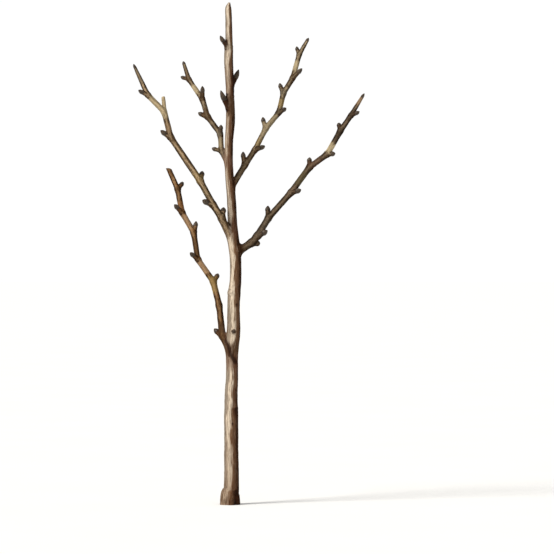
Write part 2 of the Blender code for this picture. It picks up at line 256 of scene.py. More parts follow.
# Colours of each limb's bark, from those of its painted lit side to those of its painted shaded
# side
PALETTES = {
    "trunk": dict(cream=(0.66, 0.55, 0.42), pale=(0.46, 0.37, 0.28), grey=(0.27, 0.22, 0.165),
                  warm=(0.20, 0.118, 0.064), mid=(0.124, 0.062, 0.032),
                  dark=(0.026, 0.009, 0.003), green_shade=(0.21, 0.185, 0.138)),
    "low_left": dict(cream=(0.30, 0.175, 0.085), pale=(0.25, 0.145, 0.068),
                     grey=(0.11, 0.062, 0.030), warm=(0.18, 0.082, 0.026),
                     mid=(0.052, 0.022, 0.006), dark=(0.014, 0.005, 0.001)),
    "low_right": dict(cream=(0.19, 0.135, 0.086), pale=(0.14, 0.099, 0.064),
                      grey=(0.08, 0.056, 0.037), warm=(0.100, 0.066, 0.038),
                      mid=(0.047, 0.030, 0.016), dark=(0.013, 0.007, 0.003)),
    "mid_left": dict(cream=(0.60, 0.44, 0.27), pale=(0.46, 0.315, 0.175),
                     grey=(0.19, 0.135, 0.080), warm=(0.26, 0.165, 0.085),
                     mid=(0.098, 0.060, 0.028), dark=(0.020, 0.011, 0.004)),
    "top_right": dict(cream=(0.40, 0.31, 0.19), pale=(0.32, 0.24, 0.145),
                      grey=(0.15, 0.115, 0.072), warm=(0.19, 0.130, 0.072),
                      mid=(0.078, 0.052, 0.028), dark=(0.018, 0.011, 0.005)),
    "top_left": dict(cream=(0.34, 0.26, 0.16), pale=(0.27, 0.20, 0.125),
                     grey=(0.13, 0.098, 0.064), warm=(0.16, 0.105, 0.060),
                     mid=(0.072, 0.046, 0.024), dark=(0.018, 0.010, 0.004)),
}
# Noises of the bark: width and length of their cells in millimetres, detail
GRAINS = {"streak": (3.2, 48, 4), "stripe": (1.4, 26, 3), "thread": (1.2, 34, 2),
          "fibre": (0.7, 7, 2), "patch": (22, 60, 2), "speck": (1.1, 1.1, 2),
          "cloud": (60, 75, 1), "fleck": (4.5, 9, 2)}
# Which colour each side has, painted as light and shade: degrees round from its front to the right
TRUNK_LIGHT_AND_SHADE = ((-180, "grey"), (-140, "pale"), (-100, "mid"), (-76, "green_shade"), (-58, "grey"),
               (-46, "grey"), (-36, "pale"), (-26, "cream"), (-9, "cream"), (-1, "pale"),
               (7, "warm"), (16, "mid"), (34, "mid"), (52, "dark"), (92, "dark"),
               (120, "mid"), (150, "warm"), (180, "grey"))
# The trunk's painted shaded copy, shown where its painted light is weaker
SHADED_SIDES = ((-180, "warm"), (-110, "mid"), (-60, "mid"), (-25, "warm"), (5, "mid"),
                (22, "mid"), (46, "dark"), (92, "dark"), (120, "mid"), (180, "warm"))
# Each limb: a painted highlight down its front and painted shade on both flanks
LIMB_LIGHT_AND_SHADE = ((-180, "warm"), (-135, "pale"), (-108, "mid"), (-88, "dark"), (-52, "dark"),
              (-38, "mid"), (-28, "grey"), (-16, "pale"), (-6, "cream"), (10, "pale"),
              (20, "warm"), (33, "mid"), (45, "dark"), (88, "dark"), (112, "mid"),
              (150, "warm"), (180, "warm"))
# How far the trunk's painted lit side is turned to the right, by height, in degrees
TRUNK_TURN = ((0, -16), (50, -2), (90, 3), (150, 4), (220, -2), (310, 10), (400, 6),
              (500, 14), (570, 16), (610, 2), (670, -10), (720, -8), (790, -12), (900, -10),
              (970, -20), (1060, -22), (1150, -16), (1200, -8), (1270, 0), (1330, 8),
              (1380, 20), (1420, 4), (1490, 8), (1508, 8))
TURN_SPAN = 30            # the largest turn that this can be given
# How strongly the trunk's painted light shows over its painted shaded copy, by height
TRUNK_PAINTED_LIGHT = ((0, 0.25), (36, 0.4), (80, 0.6), (150, 0.68), (220, 0.93), (400, 0.95),
                  (450, 0.4), (500, 0.95), (700, 1.0), (780, 0.85), (900, 0.88), (1000, 0.75),
                  (1080, 0.55), (1190, 0.4), (1250, 0.35), (1300, 0.6), (1335, 0.95),
                  (1508, 1.0))
STAINS = {
    "black": (0.018, 0.011, 0.008), "umber": (0.060, 0.030, 0.013),
    "rust": (0.130, 0.060, 0.036), "orange": (0.30, 0.135, 0.048),
    "ochre": (0.34, 0.235, 0.085), "olive": (0.105, 0.085, 0.042),
    "tan": (0.40, 0.26, 0.15), "cream": (0.56, 0.45, 0.27), "slate": (0.115, 0.100, 0.075),
}
# Stains along each limb, on the trunk by height: from, to, colour, strength
STAINED = {
    "trunk": ((0, 20, "umber", 0.45), (408, 440, "rust", 0.5), (450, 482, "umber", 0.85),
              (808, 846, "rust", 0.55), (1010, 1042, "rust", 0.65),
              (1176, 1218, "umber", 0.85), (1366, 1384, "olive", 0.4)),
    "low_left": ((0, 90, "umber", 0.8), (190, 236, "ochre", 0.5), (256, 298, "tan", 0.6),
                 (320, 372, "umber", 0.55), (410, 460, "tan", 0.5), (480, 510, "orange", 0.45),
                 (545, 560, "umber", 0.5), (610, 650, "umber", 0.3)),
    "low_right": ((16, 40, "umber", 0.4), (100, 150, "slate", 0.3), (296, 338, "olive", 0.6),
                  (364, 400, "rust", 0.35), (436, 459, "cream", 0.8),
                  (476, 508, "black", 0.5), (560, 588, "black", 0.4), (606, 650, "tan", 0.6)),
    "mid_left": ((0, 70, "umber", 0.3), (150, 196, "olive", 0.25), (216, 244, "ochre", 0.3),
                 (356, 376, "umber", 0.3), (396, 420, "tan", 0.4), (446, 516, "cream", 0.6),
                 (570, 640, "slate", 0.55)),
    "top_right": ((30, 158, "umber", 0.5), (176, 196, "ochre", 0.4), (214, 290, "cream", 0.35),
                  (306, 314, "black", 0.6), (332, 350, "ochre", 0.6), (370, 382, "slate", 0.5),
                  (402, 444, "umber", 0.4), (464, 490, "cream", 0.6)),
    "top_left": ((0, 8, "umber", 0.7), (62, 80, "cream", 0.3), (96, 106, "slate", 0.6),
                 (154, 190, "umber", 0.75), (222, 232, "umber", 0.5),
                 (252, 276, "cream", 0.7), (302, 338, "umber", 0.6), (356, 380, "olive", 0.45)),
}
STAIN_EASE = 8            # how gradually a stain starts and stops
TRUNK_RAGGED = 90         # how far its ends run up and down the trunk in streaks
LIMB_RAGGED = 30          # and along a limb

FLOOR_RADIUS = 400
WORLD_LIGHT = 0.5         # what the surround gives as light
WORLD_SHOWN = 1.02        # how bright it looks behind the tree
KEY_STRENGTH = 3.3
KEY_ANGLE = 20
KEY_FROM = (-0.62, -0.42, 0.66)
KEY_COLOUR = (1.0, 0.97, 0.92)
CAMERA_DISTANCE = 9.0
SENSOR = 36
FRAME_HEIGHT = 1.662      # what the photograph's frame takes in at the tree
FRAME_MIDDLE = (0.141, 0.6825)


# ---- growth rule ----

def unit(vectors):
    """Vectors scaled to length 1, one or many."""
    vectors = np.asarray(vectors, float)
    return vectors / np.maximum(np.linalg.norm(vectors, axis=-1, keepdims=True), 1e-9)


def direction(tilt, turn):
    """Unit vector tilted in the XZ plane and turned out of it, both in degrees."""
    flat = cos(radians(turn))
    side = sin(radians(tilt)) * flat
    up = cos(radians(tilt)) * flat
    return np.array((side, sin(radians(turn)), up))


def hermite(rows, at, column):
    """Smooth value of one column of the rows, read at a place in their first column."""
    last = len(rows) - 1
    i = max(k for k in range(last) if rows[k][0] <= at or k == 0)

    def slope(k):
        low, high = max(k - 1, 0), min(k + 1, last)
        return (rows[high][column] - rows[low][column]) / (rows[high][0] - rows[low][0])

    span = rows[i + 1][0] - rows[i][0]
    t = (at - rows[i][0]) / span
    rise = rows[i + 1][column] - rows[i][column]
    start, end = slope(i) * span, slope(i + 1) * span
    return (rows[i][column] + start * t + (3 * rise - 2 * start - end) * t ** 2
            + (start + end - 2 * rise) * t ** 3)


def trunk_centre(height):
    """Centre of the trunk at a height; it stands upright where it leaves the ground."""
    rooted = min(max(height, 0) / TRUNK_ROOTED, 1) ** 2
    sway = TRUNK_SWAY * sin(2 * pi * height / TRUNK_SWAY_PERIOD) * rooted
    return np.array((hermite(TRUNK_STATIONS, max(height, 0), 1), sway, height))


def trunk_radius(height):
    return hermite(TRUNK_STATIONS, max(height, 0), 2) / 2


def limb_nodes(limb):
    """The root and the bends of a limb, and the heading of each stretch between."""
    side, height = limb["start"]
    nodes = [np.array((side, trunk_centre(height)[1], height))]
    headings = []
    rows = limb["internodes"]
    for k, row in enumerate(rows):
        sweep = limb["turn"][0] + (limb["turn"][1] - limb["turn"][0]) * k / (len(rows) - 1)
        swing = TURN_SWING * sin(radians(LEAF_TURN * k) + 1)
        headings.append(direction(row[1], sweep + swing))
        nodes.append(nodes[-1] + headings[-1] * row[0])
    return nodes, headings


def limb_width(limb, share):
    """Diameter of a limb at a share of its length; its last quarter tapers ever faster."""
    widths = limb["widths"]
    quarter = min(int(share * 4), 3)
    step = share * 4 - quarter
    if quarter == 3:
        step **= 2
    return widths[quarter] + (widths[quarter + 1] - widths[quarter]) * step


def limb_length(limb):
    return sum(row[0] for row in limb["internodes"])


def bend_distances(limb):
    """Distance along a limb to each of its bends."""
    return list(np.cumsum([row[0] for row in limb["internodes"]]))[:-1]


# ---- centre lines ----

def walk(points):
    """Distance along a line to each of its points."""
    steps = np.linalg.norm(np.diff(points, axis=0), axis=1)
    return np.concatenate(([0], np.cumsum(steps)))


def line_at(at, places, points):
    """Points of a line at some places along it, where the places of its own are known."""
    return np.stack([np.interp(at, places, column) for column in points.T], axis=-1)


def bent(start, middle, end, t):
    """A point of the curve from start to end that is pulled towards the middle."""
    return start * (1 - t) ** 2 + middle * 2 * t * (1 - t) + end * t ** 2


class Axis:
    """A centre line with a radius all along it, and the frame that straightens it."""

    def __init__(self, group, kind, points, radii, reference=FRONT, flat_end=False):
        self.group, self.kind, self.flat_end = group, kind, flat_end
        points, radii = np.array(points), np.array(radii, float)
        walked = walk(points)
        count = max(int(walked[-1] / SAMPLE_STEP), 4) + 1
        self.length = walked[-1]
        self.step = self.length / (count - 1)
        along = np.linspace(0, self.length, count)
        self.start, self.trim, self.slope = 0.0, 0.0, np.zeros(3)
        self.points = line_at(along, walked, points)
        self.radii = np.interp(along, walked, radii)
        self.heading = unit(np.gradient(self.points, axis=0))
        self.front = unit(reference - self.heading * (self.heading @ reference)[:, None])
        self.side = np.cross(self.heading, self.front)
        self.leaf_scars = []

    def between(self, values, at):
        """Values of the samples read at fractional sample numbers."""
        low = np.clip(at.astype(int), 0, len(values) - 2)
        share = at - low
        if values.ndim > 1:
            share = share[:, None]
        return values[low] * (1 - share) + values[low + 1] * share

    def nearest(self, places):
        """Fractional sample number nearest to each place."""
        at = np.empty(len(places))
        squares = (self.points ** 2).sum(axis=1)
        for low in range(0, len(places), PART_SIZE):
            part = places[low:low + PART_SIZE]
            at[low:low + PART_SIZE] = (squares - 2 * part @ self.points.T).argmin(axis=1)
        for _ in range(2):
            heading = unit(self.between(self.heading, at))
            ahead = ((places - self.between(self.points, at)) * heading).sum(axis=1)
            at = np.clip(at + ahead / self.step, 0, len(self.points) - 1)
        return at

    def read(self, places):
        """Signed gap to the surface, way out, distance along, angle and radius of places."""
        at = self.nearest(places)
        heading = unit(self.between(self.heading, at))
        rel = places - self.between(self.points, at)
        ahead = (rel * heading).sum(axis=1)
        across = rel - heading * ahead[:, None]
        last = len(self.points) - 1
        beyond = (at >= last) & (ahead > 0) & (not self.flat_end)
        beyond |= (at <= 0) & (ahead < 0) & (self.kind != "trunk")
        way = np.where(beyond[:, None], rel, across)
        reach = np.linalg.norm(way, axis=1)
        radius = self.between(self.radii, at)
        gap = reach - radius
        way = way / np.maximum(reach, 1e-6)[:, None]
        along = at * self.step + ahead
        if self.flat_end:
            over, face = self.beyond_end(along, across, heading)
            capped = over > gap
            radius = np.where(capped, reach, radius)
            gap = np.where(capped, over, gap)
            way = np.where(capped[:, None], face, way)
        angle = np.arctan2((across * self.between(self.side, at)).sum(axis=1),
                           (across * self.between(self.front, at)).sum(axis=1))
        return gap, way, self.start + along, angle, radius

    def beyond_end(self, along, across, heading):
        """How far places lie beyond the end's flat face, and the way that it faces."""
        face = heading - self.slope
        steep = np.linalg.norm(face, axis=-1, keepdims=True)
        over = along - self.length + self.trim - across @ self.slope
        return over / steep[..., 0], face / steep

    def tube(self):
        """Rings of a closed tube round the centre line, and its faces."""
        turn = np.linspace(0, 2 * pi, TUBE_SIDES, endpoint=False)[None, :, None]
        ring = self.front[:, None] * np.cos(turn) + self.side[:, None] * np.sin(turn)
        verts = (self.points[:, None] + ring * self.radii[:, None, None]).reshape(-1, 3)
        return verts, tube_faces(len(self.points), TUBE_SIDES)


def grid_faces(rows, columns, closed):
    """Quads of a grid of vertices laid row by row, closed round each row or open."""
    faces = []
    for low in range(0, (rows - 1) * columns, columns):
        for c in range(columns if closed else columns - 1):
            d = (c + 1) % columns
            faces.append((low + c, low + d, low + columns + d, low + columns + c))
    return faces


def tube_faces(rows, sides):
    """Faces of a closed tube whose vertices are laid ring by ring."""
    ends = [tuple(range(sides - 1, -1, -1)), tuple(range((rows - 1) * sides, rows * sides))]
    return grid_faces(rows, sides, True) + ends


def joined(shapes):
    """One list of points and one of faces, from shapes that each have their own."""
    points, faces, count = [], [], 0
    for own_points, own_faces in shapes:
        points.append(own_points)
        faces += [tuple(count + v for v in face) for face in own_faces]
        count += len(own_points)
    return np.concatenate(points), faces


def trunk_axis():
    heights = [-BELOW_GROUND] + list(np.arange(0, TRUNK_STATIONS[-1][0], SAMPLE_STEP))
    axis = Axis("trunk", "trunk", [trunk_centre(z) for z in heights],
                [trunk_radius(z) for z in heights])
    axis.start = -BELOW_GROUND
    return axis


def limb_line(limb):
    """Dense points of a limb's centre line with rounded bends, and distances along it."""
    nodes, headings = limb_nodes(limb)
    points, walked, base = [nodes[0]], [0], 0
    for k in range(1, len(nodes) - 1):
        base += limb["internodes"][k - 1][0]
        before = nodes[k] - headings[k - 1] * BEND_REACH
        after = nodes[k] + headings[k] * BEND_REACH
        for t in np.linspace(0, 1, 9):
            points.append(bent(before, nodes[k], after, t))
            walked.append(base + BEND_REACH * (2 * t - 1))
    points.append(nodes[-1])
    walked.append(base + limb["internodes"][-1][0])
    return np.array(points), np.array(walked)


def limb_radius(limb, distance):
    """Radius of a limb with its collar and the swellings at its bends."""
    width = limb_width(limb, min(max(distance / limb_length(limb), 0), 1))
    swell = COLLAR_SWELL * max(0, 1 - distance / COLLAR_REACH) ** 2
    for bend in bend_distances(limb):
        off = distance - bend
        swell += NODE_SWELL * exp(-(off / NODE_REACH[0 if off < 0 else 1]) ** 2)
    return width / 2 * (1 + swell)


def limb_axes(name, limb):
    """Centre lines of a limb's bough and of its shoot, and the line of its end bud."""
    points, walked = limb_line(limb)
    total = limb_length(limb)
    cut = bend_distances(limb)[limb["bough_nodes"] - 1] + SHOOT_START
    tip = unit(points[-1] - points[-2])

    def place(distances):
        beyond = np.maximum(distances - total, 0)[:, None]
        return line_at(distances, walked, points) + beyond * tip

    def stretch(start, stop):
        distances = np.append(np.arange(start, stop, SAMPLE_STEP / 2), stop)
        return place(distances), [limb_radius(limb, d) for d in distances]

    places, radii = stretch(ROOT_EASE, cut)
    bend = place(np.array([0.0]))[0]
    steep = cos(radians(limb["internodes"][0][1])) ** 2
    below = trunk_centre(limb["start"][1] - ROOT_RUN * steep)
    shares = np.linspace(0, 1, 14)[:-1]
    root = [bent(below, bend, places[0], t) for t in shares]
    swell = radii[0] * (ROOT_SHARE + (1 - ROOT_SHARE) * shares)
    bough = Axis("bough_" + name, "limb", np.concatenate((root, places)),
                 np.concatenate((swell, radii)), flat_end=True)
    bough.start = cut - bough.length
    end = total + PRUNING_REACH if limb["pruned"] else total - END_BUD * BUD_OVERLAP
    shoot = Axis("shoot_" + name, "limb", *stretch(cut - SHOOT_OVERLAP, end),
                 flat_end=limb["pruned"])
    shoot.start = cut - SHOOT_OVERLAP
    if limb["pruned"]:
        slope = np.array(PRUNING_SLOPE)
        shoot.slope = slope - tip * (slope @ tip)
        shoot.trim = PRUNING_REACH
    shoot.radii[:2] *= SHOOT_FOOT
    bud_line = place(np.linspace(total - END_BUD, total, 6))
    return bough, shoot, bud_line


def growth_line(foot, root, tip, heading):
    """Points of a growth, from its foot past its root and bowed on its way to its tip."""
    reach = tip - root
    outward = reach - heading * (reach @ heading)
    middle = (root + tip) / 2 + outward * SPUR_BOW
    shares = GROWTH_SKIP + (1 - GROWTH_SKIP) * GROWTH_SHARES
    return np.array([foot] + [bent(root, middle, tip, t) for t in shares])


def growth_axis(group, line, thickness, shape, reference=FRONT):
    """Centre line of a growth's own wood, which ends where its bud takes over."""
    stop = STALK_SHARE if shape == "bud" else 1.0
    kept = GROWTH_SHARES <= stop + 0.01
    profile = np.array(GROWTH_SHAPES["stalk" if shape == "bud" else shape])
    radii = np.interp(GROWTH_SHARES[kept], profile[:, 0], profile[:, 1]) * thickness / 2
    radii = np.concatenate(([thickness * GROWTH_ROOT], radii))
    points = line[np.concatenate(([True], kept))]
    if shape == "knob":
        points, radii = points[1:], radii[1:]
    return Axis(group, shape, points, radii, reference, flat_end=shape == "snag")


def grow_trunk(axes, buds):
    """Add the trunk's centre line and its growths."""
    trunk = trunk_axis()
    axes.append(trunk)
    for height, tilt, turn, length, thickness, shape in TRUNK_GROWTHS:
        root = trunk_centre(height)
        tip = root + direction(tilt, turn) * length
        foot = root - UPRIGHT * (SPUR_RUN_DOWN if shape == "bud" else 0)
        line = growth_line(foot, root, tip, UPRIGHT)
        reference = UPRIGHT if shape == "knob" else FRONT
        axes.append(growth_axis("trunk", line, thickness, shape, reference))
        if shape == "bud":
            trunk.leaf_scars.append(line[3])
            buds.append(("trunk", line[BUD_FROM:], thickness))


def grow_limb(name, limb, chance, axes, buds):
    """Add the centre lines of a limb's bough, shoot and spurs, and its buds."""
    nodes, headings = limb_nodes(limb)
    bough, shoot, bud_line = limb_axes(name, limb)
    axes += [bough, shoot]
    if not limb["pruned"]:
        buds.append(("shoot_" + name, bud_line, limb["widths"][-1] * END_BUD_WIDTH))
    walked = 0
    for k, (length, _, spur_tilt, spur_length, shape) in enumerate(limb["internodes"]):
        walked += length
        fan = chance.uniform(*SPUR_FAN) * (-1) ** k
        if shape is None:
            continue
        bearer = bough if k < limb["bough_nodes"] else shoot
        thickness = limb_width(limb, walked / limb_length(limb)) * SPUR_WIDTH
        reach = spur_length / cos(radians(fan))
        tip = nodes[k + 1] + direction(spur_tilt, fan) * reach
        foot = nodes[k + 1] - headings[k] * SPUR_RUN_DOWN
        line = growth_line(foot, nodes[k + 1], tip, headings[k])
        axes.append(growth_axis(bearer.group, line, thickness, shape))
        bearer.leaf_scars.append(line[3])
        if shape == "bud":
            buds.append((bearer.group, line[BUD_FROM:], thickness))


def grow():
    """Every centre line of the tree, and every bud as (group, line, thickness)."""
    axes, buds = [], []
    grow_trunk(axes, buds)
    chance = random.Random(SEED)
    for name, limb in LIMBS.items():
        grow_limb(name, limb, chance, axes, buds)
    return axes, buds


# ---- noise ----

LATTICE = np.random.default_rng(SEED).uniform(-1, 1, (32, 32, 32))


def grain(places, *size):
    """Smooth noise between about -1 and 1, with cells of a size in each direction."""
    places = places / np.array(size)
    low = np.floor(places).astype(int)
    t = places - low
    t = t * t * (3 - 2 * t)
    total = np.zeros(len(places))
    for corner in np.ndindex(2, 2, 2):
        weight = np.where(np.array(corner), t, 1 - t).prod(axis=1)
        cell = (low + corner) % 32
        total += weight * LATTICE[cell[:, 0], cell[:, 1], cell[:, 2]]
    return total * 1.5


def hump(off, width):
    """A bell that is 1 at 0 and falls off over a width."""
    return np.exp(-(off / width) ** 2)


def fade(values, start, end):
    """0 before start, 1 after end, and smooth between, where end may be below start."""
    t = np.clip((values - start) / (end - start), 0, 1)
    return t * t * (3 - 2 * t)


# ---- fused surface ----

class Surface:
    """What lies nearest to each of many places: its limb, and the one after that."""

    def __init__(self, axes, places):
        count = len(places)
        self.axes = axes
        self.groups = list(dict.fromkeys(axis.group for axis in axes))
        self.group_gap = np.full((len(self.groups), count), FAR)
        self.gap = np.full((2, count), FAR)
        self.owner = np.zeros((2, count), int)
        self.way = np.zeros((2, count, 3))
        self.along, self.angle = np.zeros((2, 2, count))
        self.radius = np.ones((2, count))
        for number, axis in enumerate(axes):
            self.add(number, axis, places)
        forks = np.array([a.group.startswith("bough") and a.kind == "limb" for a in axes])
        fork = (self.owner == 0).any(axis=0) & forks[self.owner].any(axis=0)
        width = np.minimum(self.radius[0], self.radius[1])
        width = np.maximum(np.where(fork, FORK_FILLET, FILLET) * width, LEAST_FILLET)
        self.fork = fork
        self.share = np.clip(1 - (self.gap[1] - self.gap[0]) / width, 0, 1)
        self.outer_gap = self.gap[0] - self.share ** 2 * width / 4
        second = (self.share / 2)[:, None]
        self.out = unit(self.way[0] * (1 - second) + self.way[1] * second)

    def add(self, number, axis, places):
        """Measure the places near one limb, and rank it among those already measured."""
        margin = axis.radii.max() + NEAR
        low, high = axis.points.min(axis=0) - margin, axis.points.max(axis=0) + margin
        near = np.flatnonzero(((places > low) & (places < high)).all(axis=1))
        if not len(near):
            return
        gap, way, along, angle, radius = axis.read(places[near])
        row = self.groups.index(axis.group)
        self.group_gap[row, near] = np.minimum(self.group_gap[row, near], gap)
        first = gap < self.gap[0, near]
        second = ~first & (gap < self.gap[1, near])
        kept = (self.gap, self.owner, self.way, self.along, self.angle, self.radius)
        read = (gap, np.full(len(near), number), way, along, angle, radius)
        for values, new in zip(kept, read):
            values[1, near[first]] = values[0, near[first]]
            values[0, near[first]] = new[first]
            values[1, near[second]] = new[second]

    def stretch(self, rank, number):
        """What one limb owns: the places' numbers, distances along, angles and radii."""
        mine = np.flatnonzero(self.owner[rank] == number)
        return mine, self.along[rank, mine], self.angle[rank, mine], self.radius[rank, mine]

    def straight(self, rank):
        """Places on the limbs of a rank as if each limb were a straight upright rod."""
        around = self.radius[rank] * np.array((np.sin(self.angle[rank]),
                                               np.cos(self.angle[rank])))
        shift = self.owner[rank] * LIMB_SHIFT
        return np.stack((around[0], around[1], self.along[rank] + shift), axis=1)


def gathered(items, field, size=1, kind=float):
    """One field of all the items of a mesh, with a row for each item."""
    values = np.empty(len(items) * size, kind)
    items.foreach_get(field, values)
    return values.reshape(-1, size)


def fused_mesh(axes, voxel):
    """Points and faces of one closed skin over the tubes of all the axes."""
    points, faces = joined([axis.tube() for axis in axes])
    mesh = bpy.data.meshes.new("raw")
    mesh.from_pydata(points, [], faces)
    holder = bpy.data.objects.new("raw", mesh)
    bpy.context.scene.collection.objects.link(holder)
    remesh = holder.modifiers.new("remesh", "REMESH")
    remesh.mode = "VOXEL"
    remesh.voxel_size = voxel
    finished = holder.evaluated_get(bpy.context.evaluated_depsgraph_get())
    skin = finished.to_mesh()
    points = gathered(skin.vertices, "co", 3)
    quads = gathered(skin.loops, "vertex_index", kind=int).reshape(-1, 4)
    finished.to_mesh_clear()
    bpy.data.objects.remove(holder)
    bpy.data.meshes.remove(mesh)
    return points, quads


def drawn(axes, points):
    """Points moved onto the smooth union of the limbs, and the union read there."""
    for _ in range(DRAW_ROUNDS):
        surface = Surface(axes, points)
        step = np.clip(surface.outer_gap, -DRAW_STEP, DRAW_STEP)
        points = points - surface.out * step[:, None]
    return points, Surface(axes, points)


# ---- bark relief ----

def age(surface, rank):
    """How old and coarse the bark is: 1 at the trunk's foot, SHOOT_AGE on the shoots."""
    ages = np.empty(len(surface.along[rank]))
    for number, axis in enumerate(surface.axes):
        mine, s, _, _ = surface.stretch(rank, number)
        if axis.kind == "trunk":
            ages[mine] = 1 - 0.55 * fade(s, 60, 700) - 0.22 * fade(s, 700, 1400)
        elif axis.group.startswith("shoot"):
            ages[mine] = SHOOT_AGE
        elif axis.group == "trunk":
            ages[mine] = SPUR_AGE
        else:
            ages[mine] = BOUGH_AGE - 0.14 * fade(s, 100, 500)
    return ages


def furrows(surface, rank):
    """Flutes, ridges stretched along the limb and fine wrinkles, in millimetres."""
    rod = surface.straight(rank)
    coarse = age(surface, rank)
    lift = 0.62 * coarse * grain(rod, 14, 14, 75)
    for height, place, wide, long in RIDGE_LAYERS:
        crests = 1 - RIDGE_SHARPNESS * abs(grain(rod + place, wide, wide, long))
        lift += height * coarse * crests
    lift += 0.12 * grain(rod + 11, 3, 3, 5)
    trunk = surface.owner[rank] == 0
    lift += 0.7 * (fade(surface.along[rank], 90, 5) * trunk) * grain(rod + 5, 7, 7, 22)
    azimuth = surface.angle[rank] - pi / 2
    lobes = ROOT_LOBE_SIZE * np.cos(ROOT_LOBES * azimuth + ROOT_LOBE_TURN)
    lobes *= hump(surface.along[rank], ROOT_LOBE_HEIGHT) * trunk
    return lift + lobes * surface.radius[rank]


def around(angle, centre, radius):
    """Distance round the limb from an angle, in millimetres."""
    return ((angle - centre + pi) % (2 * pi) - pi) * radius


# Each of the next functions gives heights and darknesses, a pair for each mark, at
# places that have a distance s along their limb, an angle a round it and its radius r.

def annual_rings(s, wobble):
    """The trunk's growth rings, each with a groove above it."""
    for place, width, height in RINGS:
        past = s + wobble - place
        yield (height * (hump(past, width) - 0.5 * hump(past - 2 * width, width)),
               0.5 * height * hump(past - 1.5 * width, width))


def spur_wood(axis, s, a, wobble):
    """Wrinkles round a growth, and the darkness of its wood."""
    if axis.group != "trunk":
        yield 0.22 * np.sin(2 * pi * (s + wobble / 2) / 3.6), 0
    if axis.kind == "bud":
        strength = SPUR_DARK * (2 if axis.group == "trunk" else 1)
        yield 0, strength + strength * s / axis.length
    if axis.kind == "knob":
        yield 0, KNOB_DARK * (1 + np.sin(4 * a + s / 2))


def leaf_scars(axis, s, a, r):
    """The ledge below each spur, where last year's leaf stood."""
    for point in axis.leaf_scars:
        _, _, place, turn, _ = axis.read(point[None])
        off = s - place[0] + LEAF_SCAR_DROP
        across = around(a, turn[0], r)
        ledge = np.where(off > 0, hump(off, 6), hump(off, 2.4)) * hump(across, r * 0.75)
        yield (LEAF_SCAR_HEIGHT * ledge * np.sqrt(r / 9),
               0.9 * hump(off + 4, 2.6) * hump(across, r * 0.7))


def bough_end(axis, s, wobble):
    """The collar and the groove where a bough hands over to its shoot."""
    left = axis.start + axis.length - s
    yield (0.5 * hump(left - wobble / 2 - 4.5, 2.2) - 0.9 * fade(left, 2.5, 0),
           0.2 * fade(left, 2.5, 0))


def shoot_foot(axis, s, wobble):
    """The rings of last year's bud scales at the foot of a shoot."""
    past = s - axis.start - SHOOT_OVERLAP
    for k in range(BUD_SCARS):
        yield 0.28 * hump(past + wobble / 3 - 1.5 - BUD_SCAR_STEP * k, 0.8), 0
    yield 0, 0.15 * fade(past, 6, 0)


def healed_scars(s, a, r):
    """Round scars on the trunk, each a sunken middle in a raised lip."""
    for height, turn, long, wide, darkness in HEALED_SCARS:
        off = (s - height) / long
        across = around(a, radians(turn), r) / wide
        ring = np.sqrt(off ** 2 + across ** 2)
        yield (1.0 * hump(ring - 1, 0.35) - 0.9 * hump(ring, 0.5),
               darkness * (hump(ring, 0.45) + 0.4 * hump(ring - 1.5, 0.3)))


def ledges(s, a, r):
    """Ledges on one side of the trunk, steep above and drawn out below, with painted shade under
    each.
    """
    for height, turn, wide, proud in LEDGES:
        off = s - height + 1.2 * np.sin(a * 5)
        beside = hump(around(a, radians(turn), r), wide)
        yield (proud * np.where(off > 0, hump(off, 1.4), hump(off, 16)) * beside,
               0.95 * np.where(off > 0, hump(off, 2), hump(off, 3.2 * wide)) * beside)


def ridges(s, a, r):
    """Ridges that run down the trunk from its spurs."""
    for high, low, turn, proud in RIDGES:
        beside = around(a, radians(turn), r)
        within = fade(s, low, low + 22) * fade(s, high, high - 8)
        yield proud * hump(beside, 4) * within, 1.1 * hump(beside, 6.5) * np.sqrt(within)


def seams(s, a, r):
    """Slanting seams of old collars on the trunk, with a groove below and a stain."""
    for (high, high_turn), (low, low_turn), wide in SEAMS:
        share = np.clip((high - s) / (high - low), 0, 1)
        turn = radians(high_turn) + share * radians(low_turn - high_turn)
        slope = abs(high - low) / (abs(radians(low_turn - high_turn)) * 19)
        across = around(a, turn, r) * sin(atan(slope))
        across += 1.6 * np.sin(s / 7.0)
        within = fade(s, low - 14, low + 4) * fade(s, high + 12, high - 4)
        yield (0.7 * hump(across, 4) * within - 0.5 * hump(across + 7, 3.5) * within,
               hump(across + 3, wide) * within)


def limb_marks(axis, number, s, a, r):
    """All the marks of one limb, as pairs of heights and darknesses."""
    wobble = 1.2 * np.sin(3 * a + number) + 0.8 * np.sin(5 * a)
    if axis.kind == "trunk":
        yield from annual_rings(s, wobble)
    if axis.kind in GROWTH_KINDS:
        yield from spur_wood(axis, s, a, wobble)
    yield from leaf_scars(axis, s, a, r)
    if axis.group.startswith("bough") and axis.kind == "limb":
        yield from bough_end(axis, s, wobble)
    if axis.group.startswith("shoot") and axis.kind == "limb":
        yield from shoot_foot(axis, s, wobble)


def marked(surface, rank, marks):
    """Height and darkness that marks lend to the places of one limb after the other."""
    lift, dark = np.zeros((2, len(surface.along[rank])))
    for number, axis in enumerate(surface.axes):
        mine, s, a, r = surface.stretch(rank, number)
        for higher, darker in marks(axis, number, s, a, r):
            lift[mine] += higher
            dark[mine] += darker
    return lift, dark


def trunk_marks(axis, _, s, a, r):
    """The marks that only the trunk has."""
    if axis.kind == "trunk":
        for kind in (healed_scars, ledges, ridges, seams):
            yield from kind(s, a, r)


